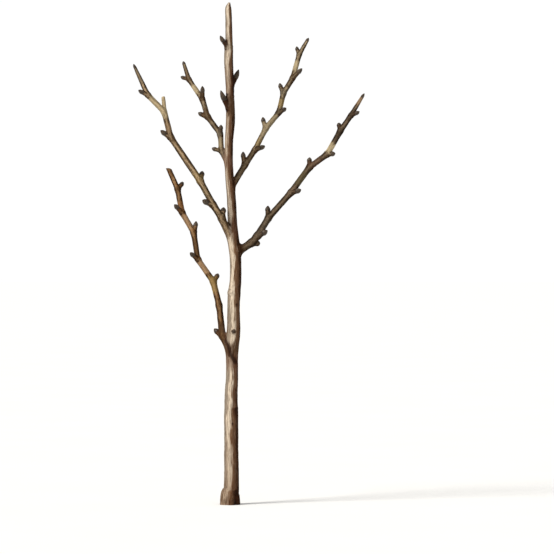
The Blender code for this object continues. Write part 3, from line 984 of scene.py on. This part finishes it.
def eye(points, lift, dark):
    """The sunken eye of the old knot on the trunk's front, added to both."""
    height, _, _, length, thickness, _ = TRUNK_GROWTHS[EYE_KNOB]
    centre = trunk_centre(height) + FRONT * length
    beside = (points - centre)[:, [0, 2]] / (thickness / 2)
    off = np.linalg.norm(beside, axis=1)
    upper_right = 0.75 + 0.3 * np.clip(beside.sum(axis=1), -1, 1)
    facing = fade(points[:, 1], centre[1] + 16, centre[1] + 4)
    lift += facing * (0.9 * hump(off - 0.85, 0.22) - 3.0 * hump(off, 0.5))
    dark += facing * 1.5 * hump(off - 0.5, 0.25) * upper_right


def unions(points, surface, lift, dark):
    """The ridge of bark, and the painted crease shade with its stain where two limbs meet, added
    to both.
    """
    apart = surface.gap[1] - surface.gap[0]
    sharp = fade((surface.way[0] * surface.way[1]).sum(axis=1), 0.75, -0.4)
    fork = surface.fork
    rough = 0.75 + 0.5 * grain(points, 5, 5, 5)
    lift += np.where(fork, *UNION_RIDGE) * hump(apart, 1.8) * rough * sharp
    lift -= np.where(fork, *UNION_GROOVE) * hump(apart - 4.5, 1.8) * sharp
    knobs = np.array([axis.kind == "knob" for axis in surface.axes])
    knob = knobs[surface.owner].any(axis=0)
    strength = np.where(knob, KNOB_UNION_SHADE, np.where(fork, *UNION_SHADE))
    spread = hump(apart, np.where(fork, *UNION_REACH))
    dark += strength * spread * rough * (0.15 + 0.85 * sharp)


def softened(values, quads):
    """Values at the points of a mesh, each averaged with its neighbours."""
    starts = np.concatenate([quads[:, k] for k in range(4)] * 2)
    ends = np.concatenate([quads[:, (k + step) % 4] for step in (1, 3) for k in range(4)])
    total = np.bincount(starts, weights=values[ends], minlength=len(values))
    return (values + total / np.bincount(starts, minlength=len(values))) / 2


def cut_faces(surface):
    """1 on the faces of cut ends and broken stubs, 0 elsewhere."""
    cut = np.zeros(surface.gap.shape[1])
    for number, axis in enumerate(surface.axes):
        if axis.flat_end and not axis.group.startswith("bough") or axis.kind == "snag":
            ends = surface.owner[0] == number
            facing = surface.way[0] @ unit(axis.heading[-1] - axis.slope)
            near = abs(surface.gap[0]) < CUT_DEPTH
            cut[ends & (facing > CUT_FACING) & near] = 1
    return cut


def trunk_kinship(surface):
    """How far the bark takes after the trunk's: 1 on it, 0 away from it."""
    gap = surface.group_gap[0] if surface.groups[0] == "trunk" else FAR
    return fade(gap + 5 * grain(surface.straight(0), 5, 5, 30), 13, 0)


def shaped(points, quads, surface):
    """Points with the relief laid on, and the colour masks of the bark there."""
    second = surface.share / 2
    lift, dark = 0, 0
    for rank, weight in ((0, 1 - second), (1, second)):
        weight = weight * (surface.gap[rank] < FAR)
        limb_lift, limb_dark = marked(surface, rank, limb_marks)
        trunk_lift, trunk_dark = marked(surface, rank, trunk_marks)
        lift = lift + weight * (furrows(surface, rank) + limb_lift + trunk_lift)
        dark = dark + weight * (limb_dark + trunk_dark)
    unions(points, surface, lift, dark)
    eye(points, lift, dark)
    ground = fade(points[:, 2], FOOT_DARK_TOP, 0)
    dark += 0.7 * ground * (0.5 + 0.7 * grain(points, 8, 8, 8))
    for _ in range(SOFTENINGS):
        lift, dark = softened(lift, quads), softened(dark, quads)
    masks = (np.clip(dark, 0, 1), trunk_kinship(surface), cut_faces(surface))
    return points + surface.out * lift[:, None], np.stack(masks, axis=1)


# ---- meshes ----

def new_object(name, mesh, material, node):
    """Make an object that stands for a node of the source and rides on the tree."""
    thing = bpy.data.objects.new(name, mesh)
    bpy.context.scene.collection.objects.link(thing)
    mesh.materials.append(material)
    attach(thing, "root")
    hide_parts(node)


def vertex_normals(points, quads):
    """Normals of a mesh of quads at its points."""
    across = points[quads[:, 2]] - points[quads[:, 0]]
    normal = np.cross(across, points[quads[:, 3]] - points[quads[:, 1]])
    total = np.zeros_like(points)
    for corner in range(4):
        np.add.at(total, quads[:, corner], normal)
    return unit(total)


def add_layer(mesh, name, values):
    """Give each point of a mesh a number or a vector that materials can read."""
    kind, field = ("FLOAT", "value") if values.ndim == 1 else ("FLOAT_VECTOR", "vector")
    layer = mesh.attributes.new(name, kind, "POINT")
    layer.data.foreach_set(field, np.asarray(values, np.float32).ravel())


def close_mesh(mesh, grounded):
    """Cut a mesh flat at the ground if it reaches it, and cap its open rims."""
    bm = bmesh.new()
    bm.from_mesh(mesh)
    if grounded:
        everything = bm.verts[:] + bm.edges[:] + bm.faces[:]
        bmesh.ops.bisect_plane(bm, geom=everything, dist=1e-7, plane_co=(0, 0, 0),
                               plane_no=(0, 0, -1), clear_outer=True)
    cap = bm.faces.layers.int.new("cap")
    rims = [edge for edge in bm.edges if edge.is_boundary]
    lids = bmesh.ops.holes_fill(bm, edges=rims, sides=0)["faces"]
    for face in bmesh.ops.poke(bm, faces=lids)["faces"]:
        face[cap] = 1
    bm.to_mesh(mesh)
    bm.free()


def keep_normals(mesh):
    """Shade a mesh by the whole skin's normals, and its caps flat."""
    mesh.shade_smooth()
    skin = gathered(mesh.attributes["skin_normal"].data, "vector", 3)
    caps = gathered(mesh.attributes["cap"].data, "value")[:, 0] > 0
    corners = gathered(mesh.loops, "vertex_index", kind=int)[:, 0]
    sides = gathered(mesh.polygons, "loop_total", kind=int)[:, 0]
    flat = np.repeat(gathered(mesh.polygons, "normal", 3), sides, axis=0)
    chosen = np.where(np.repeat(caps, sides)[:, None], flat, skin[corners])
    for name in ("skin_normal", "cap"):
        mesh.attributes.remove(mesh.attributes[name])
    mesh.normals_split_custom_set(chosen.tolist())


def wood_mesh(name, points, quads, layers):
    """A closed mesh of part of the skin, with the layers that its material reads."""
    used = np.unique(quads)
    number = np.zeros(len(points), int)
    number[used] = np.arange(len(used))
    mesh = bpy.data.meshes.new(name)
    mesh.from_pydata((points[used] * MM).tolist(), [], number[quads].tolist())
    for layer, values in layers.items():
        add_layer(mesh, layer, values[used])
    close_mesh(mesh, points[used, 2].min() < 0)
    keep_normals(mesh)
    return mesh


def from_trunk(points):
    """Level directions from the trunk's centre line to some places."""
    heights = np.arange(0, TRUNK_STATIONS[-1][0], SAMPLE_STEP)
    line = np.array([trunk_centre(height) for height in heights])
    away = [points[:, k] - np.interp(points[:, 2], heights, line[:, k]) for k in (0, 1)]
    return unit(np.stack((*away, np.zeros(len(points))), axis=1))


def build_wood(axes, voxel):
    """The fused skin of some limbs, cut apart into one mesh for each group."""
    points, quads = fused_mesh(axes, voxel)
    points, surface = drawn(axes, points)
    points, masks = shaped(points, quads, surface)
    layers = {"bark": surface.straight(0), "out": from_trunk(points), "masks": masks,
              "skin_normal": vertex_normals(points, quads)}
    nearest = surface.group_gap[:, quads].mean(axis=2).argmin(axis=0)
    for row, group in enumerate(surface.groups):
        main = next(axis for axis in axes if axis.group == group)
        layers["walk"] = main.start + main.nearest(points) * main.step
        mesh = wood_mesh(group + "_wood", points, quads[nearest == row], layers)
        kind = group.split("_")[0]
        new_object(group + "_wood", mesh, wood_material(group), group)


# ---- buds ----

def bud_swell(share):
    """Width of a bud along its length: fullest at BUD_BELLY, closing to a point."""
    low = 0.9 + 0.1 * np.sin(pi / 2 * np.clip(share / BUD_BELLY, 0, 1))
    rest = np.clip((share - BUD_BELLY) / (1 - BUD_BELLY), 0, 1)
    return np.where(share < BUD_BELLY, low, np.maximum(1 - rest ** 2.0, 0) ** 0.9)


class Bud:
    """The centre line of a bud, and places on its round body."""

    def __init__(self, line, width):
        walked = walk(line)
        self.shares = walked / walked[-1]
        self.line, self.width = line, width
        self.heading = unit(line[-1] - line[0])
        self.front = unit(FRONT - self.heading * (self.heading @ FRONT))
        self.side = np.cross(self.heading, self.front)

    def place(self, share, turn, proud):
        """Points at shares along the bud, turns round it and heights over its body."""
        share = np.minimum(share, 1)
        centre = line_at(share, self.shares, self.line)
        reach = bud_swell(share) * self.width / 2 + proud
        way = (self.front * np.cos(turn)[..., None] + self.side * np.sin(turn)[..., None])
        return centre + way * reach[..., None]


def scale_shell(bud, start, length, turn, proud, chance):
    """Two grids of points, outer and inner, of one bud scale, and its colour values."""
    along, across = np.meshgrid(np.linspace(0, 1, SCALE_ROWS),
                                np.linspace(-1, 1, SCALE_COLUMNS), indexing="ij")
    outline = np.cos(pi / 2 * np.clip(along, 0, 0.985)) ** 0.6
    angle = turn + across * outline * SCALE_SPREAD
    share = start + length * (along - 0.05 * across ** 2)
    lift = proud + 0.2 * along ** 3 + 0.1 * (1 - across ** 2)
    outer = bud.place(np.clip(share, 0, 1), angle, lift)
    inner = bud.place(np.clip(share, 0, 1), angle, np.maximum(lift - SCALE_THICKNESS, 0.02))
    tone = np.full(along.shape, chance.random())
    values = np.stack((across, along, tone), axis=-1)
    return np.stack((outer, inner)), np.stack((values, values))


def shell_faces():
    """Faces of a thin closed shell whose points are an outer and an inner grid."""
    count = SCALE_ROWS * SCALE_COLUMNS
    outer = grid_faces(SCALE_ROWS, SCALE_COLUMNS, False)
    inner = [tuple(count + v for v in reversed(face)) for face in outer]
    rim = list(range(SCALE_COLUMNS))
    rim += [r * SCALE_COLUMNS + SCALE_COLUMNS - 1 for r in range(1, SCALE_ROWS)]
    rim += [(SCALE_ROWS - 1) * SCALE_COLUMNS + c for c in range(SCALE_COLUMNS - 2, -1, -1)]
    rim += [r * SCALE_COLUMNS for r in range(SCALE_ROWS - 2, 0, -1)]
    edge = [(b, a, a + count, b + count) for a, b in zip(rim, rim[1:] + rim[:1])]
    return outer + inner + edge


def bud_core(bud):
    """Points and faces of the closed body under the scales."""
    shares = np.linspace(-0.04, 0.99, BUD_ROWS)
    turns = np.linspace(0, 2 * pi, BUD_SIDES, endpoint=False)
    share, turn = np.meshgrid(shares, turns, indexing="ij")
    points = bud.place(np.clip(share, 0, 1), turn, np.zeros(share.shape))
    points += bud.heading * (np.minimum(share, 0) * bud.width)[..., None]
    return points.reshape(-1, 3), tube_faces(BUD_ROWS, BUD_SIDES)


def build_buds(group, buds):
    """All the buds of one limb, joined: a core each, wrapped in a spiral of scales."""
    chance = random.Random(group)
    shell = shell_faces()
    shapes, values = [], []
    for line, width in buds:
        bud = Bud(line, width)
        shapes.append(bud_core(bud))
        values.append(np.tile(CORE_TONE, (len(shapes[-1][0]), 1)))
        scales = SCALE_COUNTS[1 if width > FAT_BUD else 0]
        for k in range(scales):
            start = SCALE_FIRST + SCALE_RUN * k / scales
            waver = chance.uniform(-SCALE_WAVER, SCALE_WAVER)
            turn = radians(SCALE_TURN * k + waver)
            proud = SCALE_PROUD + SCALE_LAYERS * (1 - k / scales)
            length = chance.uniform(*SCALE_LENGTHS)
            grids, tones = scale_shell(bud, start, length, turn, proud, chance)
            shapes.append((grids.reshape(-1, 3), shell))
            values.append(tones.reshape(-1, 3))
    points, faces = joined(shapes)
    mesh = bpy.data.meshes.new(group + "_buds")
    mesh.from_pydata((points * MM).tolist(), [], faces)
    add_layer(mesh, "scale", np.concatenate(values))
    mesh.shade_smooth()
    kind = group.split("_")[0]
    new_object(group + "_buds", mesh, bud_material(), group)


# ---- materials ----

class Nodes:
    """A material's node tree, with short ways to add its nodes."""

    def __init__(self, name):
        self.material = bpy.data.materials.new(name)
        self.material.use_nodes = True
        self.tree = self.material.node_tree
        self.shader = self.tree.nodes["Principled BSDF"]

    def add(self, kind, inputs, output=0, **settings):
        node = self.tree.nodes.new("ShaderNode" + kind)
        for key, value in settings.items():
            setattr(node, key, value)
        for key, value in inputs.items():
            self.set(node.inputs[key], value)
        return node.outputs[output]

    def set(self, socket, value):
        if isinstance(value, bpy.types.NodeSocket):
            self.tree.links.new(value, socket)
        elif isinstance(value, tuple) and len(socket.default_value) == 4:
            socket.default_value = (*value, 1)
        else:
            socket.default_value = value

    def attribute(self, name, output="Vector"):
        return self.add("Attribute", {}, output, attribute_name=name)

    def stretched(self, vector, *size):
        """The vector divided by a size in each direction."""
        return self.add("VectorMath", {0: vector, 1: size}, operation="DIVIDE")

    def noise(self, vector, *size, detail=3.0):
        """Noise with cells of a size in each direction."""
        inputs = {"Vector": self.stretched(vector, *size), "Scale": 1.0, "Detail": detail,
                  "Roughness": 0.55}
        return self.add("TexNoise", inputs)

    def grain(self, rod, name):
        """One of the bark's own noises, stretched along the limb."""
        wide, long, detail = GRAINS[name]
        return self.noise(rod, wide, wide, long, detail=detail)

    def split(self, kind, value):
        """The three parts of a vector or a colour."""
        node = self.tree.nodes.new("ShaderNode" + kind)
        self.set(node.inputs[0], value)
        return node.outputs[:3]

    def maths(self, operation, *values):
        return self.add("Math", dict(enumerate(values)), operation=operation)

    def remap(self, value, low, high, start=0.0, end=1.0):
        """The value eased from start at low to end at high."""
        inputs = {"Value": value, "From Min": low, "From Max": high, "To Min": start,
                  "To Max": end}
        return self.add("MapRange", inputs, interpolation_type="SMOOTHSTEP")

    def mix(self, share, first, second, blend="MIX"):
        """Two colours mixed by a share of the second."""
        node = self.tree.nodes.new("ShaderNodeMix")
        node.data_type, node.blend_type = "RGBA", blend
        self.set(node.inputs[0], share)
        self.set(node.inputs[6], first)
        self.set(node.inputs[7], second)
        return node.outputs[2]

    def bump(self, height, distance):
        return self.add("Bump", {"Height": height, "Distance": distance * MM, "Strength": 1.0})

    def finish(self, colour, roughness, specular, normal=None):
        """Wire up the shader, and give back the material."""
        looks = {"Base Color": colour, "Roughness": roughness, "Specular IOR Level": specular}
        if normal is not None:
            looks["Normal"] = normal
        for key, value in looks.items():
            self.set(self.shader.inputs[key], value)
        return self.material


def lenticels(nodes, rod, wide, tall, share):
    """Spots wider than tall on a share of the cells of a grid: 1 inside, 0 outside."""
    cells = nodes.stretched(rod, wide, wide, tall)
    inputs = {"Vector": cells, "Scale": 1.0, "Randomness": 0.9}
    distance = nodes.add("TexVoronoi", inputs, "Distance")
    colour = nodes.add("TexVoronoi", inputs, "Color")
    picked = nodes.split("SeparateColor", colour)[0]
    spot = nodes.remap(distance, 0.42, 0.24)
    return nodes.maths("MULTIPLY", spot, nodes.remap(picked, 1 - share, 1.02 - share))


def ramp(nodes, value, stops, ease="LINEAR"):
    """The colour and the alpha that belong to a value from 0 to 1."""
    node = nodes.tree.nodes.new("ShaderNodeValToRGB")
    node.color_ramp.interpolation = ease
    elements = node.color_ramp.elements
    while len(elements) < len(stops):
        elements.new(0.5)
    for element, (place, colour) in zip(elements, stops):
        element.position = place
        element.color = colour
    nodes.set(node.inputs[0], value)
    return node.outputs


def by_height(nodes, height, rows):
    """A value from 0 to 1 that goes with the height in millimetres."""
    top = rows[-1][0]
    stops = [(place / top, (value, value, value, 1)) for place, value in rows]
    return ramp(nodes, nodes.maths("DIVIDE", height, top), stops, "EASE")[0]


def side_colour(nodes, turn, palette, sides):
    """The colour of a palette that belongs to a turn round the limb, in half turns: its painted
    light and shade.
    """
    stops = [(degrees / 360 + 0.5, (*palette[name], 1)) for degrees, name in sides]
    return ramp(nodes, turn, stops)[0]


def stained(nodes, colour, name, distance, streak, ragged):
    """The colour with the stains of a limb, which start and stop in streaks."""
    span = STAINED[name][-1][1] + STAIN_EASE
    stops = []
    for start, end, stain, strength in STAINED[name]:
        for place, share in ((max(start - STAIN_EASE, 0), 0), (start, strength),
                             (end, strength), (end + STAIN_EASE, 0)):
            stops.append((place / span, (*STAINS[stain], share)))
    off = nodes.maths("SUBTRACT", streak, 0.5)
    place = nodes.maths("MULTIPLY_ADD", off, ragged, distance)
    outputs = ramp(nodes, nodes.maths("DIVIDE", place, span), stops)
    worn = nodes.maths("MULTIPLY", outputs[1], nodes.remap(streak, 0.25, 0.6, 0.6, 1.1))
    return nodes.mix(worn, colour, outputs[0])


def trunk_colour(nodes, turn, streak):
    """The trunk's bark, with light and shade painted on by its side, and by its height."""
    place = nodes.add("TexCoord", {}, "Object")
    height = nodes.maths("DIVIDE", nodes.split("SeparateXYZ", place)[2], MM)
    turned = [(place, 0.5 + degrees / TURN_SPAN / 2) for place, degrees in TRUNK_TURN]
    swung = nodes.maths("SUBTRACT", by_height(nodes, height, turned), 0.5)
    turn = nodes.maths("MULTIPLY_ADD", swung, -2 * TURN_SPAN / 360, turn)
    colour = side_colour(nodes, turn, PALETTES["trunk"], TRUNK_LIGHT_AND_SHADE)
    shade = nodes.maths("SUBTRACT", 1.0, by_height(nodes, height, TRUNK_PAINTED_LIGHT))
    shaded = side_colour(nodes, turn, PALETTES["trunk"], SHADED_SIDES)
    colour = nodes.mix(shade, colour, shaded)
    return stained(nodes, colour, "trunk", height, streak, TRUNK_RAGGED)


def wavering(nodes, side, front, streak, patch):
    """The turn from the front that belongs to two directions, from 0 to 1, made uneven."""
    turn = nodes.maths("MULTIPLY_ADD", nodes.maths("ARCTAN2", side, front), 0.5 / pi, 0.5)
    for noise, reach in ((streak, 0.2), (patch, 0.14)):
        turn = nodes.maths("MULTIPLY_ADD", nodes.maths("SUBTRACT", noise, 0.5), reach, turn)
    return turn


def limb_colour(nodes, turn, streak, rod, name):
    """A limb's bark, with light and shade painted on by its side, and by the distance along it."""
    palette = PALETTES[name]
    colour = side_colour(nodes, turn, palette, LIMB_LIGHT_AND_SHADE)
    cloud = nodes.maths("MULTIPLY", nodes.remap(nodes.grain(rod, "cloud"), 0.4, 0.6), 0.3)
    colour = nodes.mix(cloud, colour, palette["mid"])
    fleck = nodes.grain(rod, "fleck")
    colour = nodes.mix(nodes.remap(fleck, 0.44, 0.32, 0, 0.45), colour, palette["cream"])
    colour = nodes.mix(nodes.remap(fleck, 0.54, 0.66, 0, 0.6), colour, palette["dark"])
    distance = nodes.attribute("walk", "Fac")
    return stained(nodes, colour, name, distance, streak, LIMB_RAGGED)


def bark_colour(nodes, rod, name, kin, streak):
    """Bark with light and shade painted on by its side, and by its place, taking after the trunk's
    next to the trunk.
    """
    patch = nodes.grain(rod, "patch")
    out_x, out_y, _ = nodes.split("SeparateXYZ", nodes.attribute("out"))
    facing = nodes.maths("MULTIPLY", out_y, -1.0)
    colour = trunk_colour(nodes, wavering(nodes, out_x, facing, streak, patch), streak)
    if name != "trunk":
        side, front, _ = nodes.split("SeparateXYZ", rod)
        turn = wavering(nodes, side, front, streak, patch)
        colour = nodes.mix(kin, limb_colour(nodes, turn, streak, rod, name), colour)
    return colour


def union_shade_and_stain(nodes, colour, dark, streak, stripe):
    """The colour with the painted shade and the reddish stains in the creases where limbs meet."""
    union = nodes.maths("MULTIPLY", dark, nodes.remap(streak, 0.2, 0.6, 0.65, 1.15))
    stain = nodes.mix(nodes.remap(stripe, 0.4, 0.6), UNION_SHADE_AND_PITH, UNION_RED)
    stain = nodes.mix(nodes.remap(dark, 0.7, 1), stain, UNION_SHADE_AND_PITH)
    return nodes.mix(nodes.remap(union, 0.1, 0.8, 0, 0.9), colour, stain)


def wood_material(group):
    """Bark, streaked: painted lit and pale on one side, painted shaded and brown behind, and
    painted shade with stains in the forks.
    """
    name = group.split("_", 1)[-1]
    palette = PALETTES[name]
    young = group.startswith("shoot")
    nodes = Nodes(group + "_bark")
    rod = nodes.attribute("bark")
    dark, kin, cut = nodes.split("SeparateXYZ", nodes.attribute("masks"))
    streak = nodes.grain(rod, "streak")
    stripe = nodes.grain(rod, "stripe")
    thread = nodes.grain(rod, "thread")
    spots = lenticels(nodes, rod, *LENTICELS)

    colour = bark_colour(nodes, rod, name, kin, streak)
    colour = nodes.mix(nodes.remap(stripe, 0.52, 0.66, 0, 0.6), colour, palette["mid"])
    colour = nodes.mix(nodes.remap(thread, 0.56, 0.66, 0, 0.7), colour, palette["dark"])
    colour = nodes.mix(nodes.remap(stripe, 0.42, 0.3, 0, 0.3), colour, palette["pale"])
    colour = nodes.mix(nodes.maths("MULTIPLY", spots, 0.4), colour, palette["grey"])
    colour = union_shade_and_stain(nodes, colour, dark, streak, stripe)
    colour = nodes.mix(cut, colour, end_grain(nodes, rod, nodes.grain(rod, "speck")))

    rough = nodes.remap(streak, 0.3, 0.7, *(YOUNG_ROUGHNESS if young else OLD_ROUGHNESS))
    height = nodes.maths("MULTIPLY_ADD", nodes.grain(rod, "fibre"), 0.35, stripe)
    height = nodes.maths("MULTIPLY_ADD", spots, 0.5, height)
    relief = nodes.bump(height, YOUNG_BUMP if young else OLD_BUMP)
    return nodes.finish(colour, rough, BARK_SPECULAR, relief)


def end_grain(nodes, rod, speck):
    """The greyed face of a cut end, with its rings and pith."""
    x, y, _ = nodes.split("SeparateXYZ", rod)
    reach = nodes.maths("MULTIPLY", x, x)
    reach = nodes.maths("SQRT", nodes.maths("MULTIPLY_ADD", y, y, reach))
    reach = nodes.maths("MULTIPLY_ADD", speck, 0.7, reach)
    phase = nodes.maths("MULTIPLY", reach, RING_RATE)
    ring = nodes.remap(nodes.maths("SINE", phase), -0.4, 0.9)
    face = nodes.mix(ring, CUT_LIGHT, CUT_DARK)
    return nodes.mix(nodes.remap(reach, 1.6, 0.7), face, UNION_SHADE_AND_PITH)


def bud_material():
    """Bud scales: dark brown, each with its own tone and a paler downy margin."""
    if "bud_scales" in bpy.data.materials:
        return bpy.data.materials["bud_scales"]
    nodes = Nodes("bud_scales")
    scale = nodes.attribute("scale")
    parts = nodes.split("SeparateXYZ", scale)
    place = nodes.add("TexCoord", {}, "Object")
    grit = nodes.noise(place, GRIT, GRIT, GRIT)
    ribs = nodes.noise(scale, 0.16, 1.5, 1, detail=2)
    colour = nodes.mix(parts[2], SCALE_BROWN, SCALE_TAN)
    colour = nodes.mix(nodes.remap(ribs, 0.35, 0.65, 0, 0.5), colour, SCALE_RIB)
    edge = nodes.remap(nodes.maths("ABSOLUTE", parts[0]), 0.62, 1)
    edge = nodes.maths("MAXIMUM", edge, nodes.remap(parts[1], 0.7, 1))
    edge = nodes.maths("MULTIPLY", edge, nodes.remap(grit, 0.3, 0.62, 0.3, 0.9))
    colour = nodes.mix(edge, colour, SCALE_DOWN)
    rough = nodes.remap(edge, 0, 1, *BUD_ROUGHNESS)
    return nodes.finish(colour, rough, BUD_SPECULAR, nodes.bump(ribs, 0.25))


def floor_material():
    nodes = Nodes("pale_floor")
    place = nodes.add("TexCoord", {}, "Object")
    mottle = nodes.noise(place, 0.5, 0.5, 0.5)
    return nodes.finish(nodes.mix(mottle, *FLOOR_COLOURS), FLOOR_ROUGHNESS, 0.0)


# ---- floor, light and camera ----

def build_floor():
    bpy.ops.mesh.primitive_circle_add(vertices=96, radius=FLOOR_RADIUS, fill_type="NGON")
    floor = bpy.context.object
    floor.name = "floor"
    floor.data.materials.append(floor_material())


def build_light():
    """A white surround that lights the tree softly, and a broad key from the front left."""
    bpy.context.scene.view_settings.view_transform = "Standard"
    world = bpy.data.worlds.new("pale_studio")
    world.use_nodes = True
    tree = world.node_tree
    background = tree.nodes["Background"]
    background.inputs["Color"].default_value = (1, 1, 1, 1)
    path = tree.nodes.new("ShaderNodeLightPath")
    strength = tree.nodes.new("ShaderNodeMapRange")
    strength.inputs["To Min"].default_value = WORLD_LIGHT
    strength.inputs["To Max"].default_value = WORLD_SHOWN
    tree.links.new(path.outputs["Is Camera Ray"], strength.inputs["Value"])
    tree.links.new(strength.outputs[0], background.inputs["Strength"])
    bpy.context.scene.world = world
    sun = bpy.data.lights.new("key", "SUN")
    sun.energy = KEY_STRENGTH
    sun.angle = radians(KEY_ANGLE)
    sun.color = KEY_COLOUR
    key = bpy.data.objects.new("key", sun)
    key.rotation_euler = Vector(KEY_FROM).to_track_quat("Z", "Y").to_euler()
    bpy.context.scene.collection.objects.link(key)


def build_camera():
    data = bpy.data.cameras.new("camera")
    data.sensor_width = SENSOR
    data.lens = SENSOR * CAMERA_DISTANCE / FRAME_HEIGHT
    camera = bpy.data.objects.new("camera", data)
    camera.location = (FRAME_MIDDLE[0], -CAMERA_DISTANCE, FRAME_MIDDLE[1])
    camera.rotation_euler = (radians(90), 0, 0)
    data.clip_end = 2 * FLOOR_RADIUS
    bpy.context.scene.collection.objects.link(camera)
    bpy.context.scene.camera = camera


def main():
    axes, buds = grow()
    old = [axis for axis in axes if not axis.group.startswith("shoot")]
    build_wood(old, WOOD_VOXEL)
    for name in LIMBS:
        build_wood([a for a in axes if a.group == "shoot_" + name], SHOOT_VOXEL)
    for group in dict.fromkeys(bud[0] for bud in buds):
        build_buds(group, [bud[1:] for bud in buds if bud[0] == group])
    build_floor()
    build_light()
    build_camera()
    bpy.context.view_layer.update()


main()
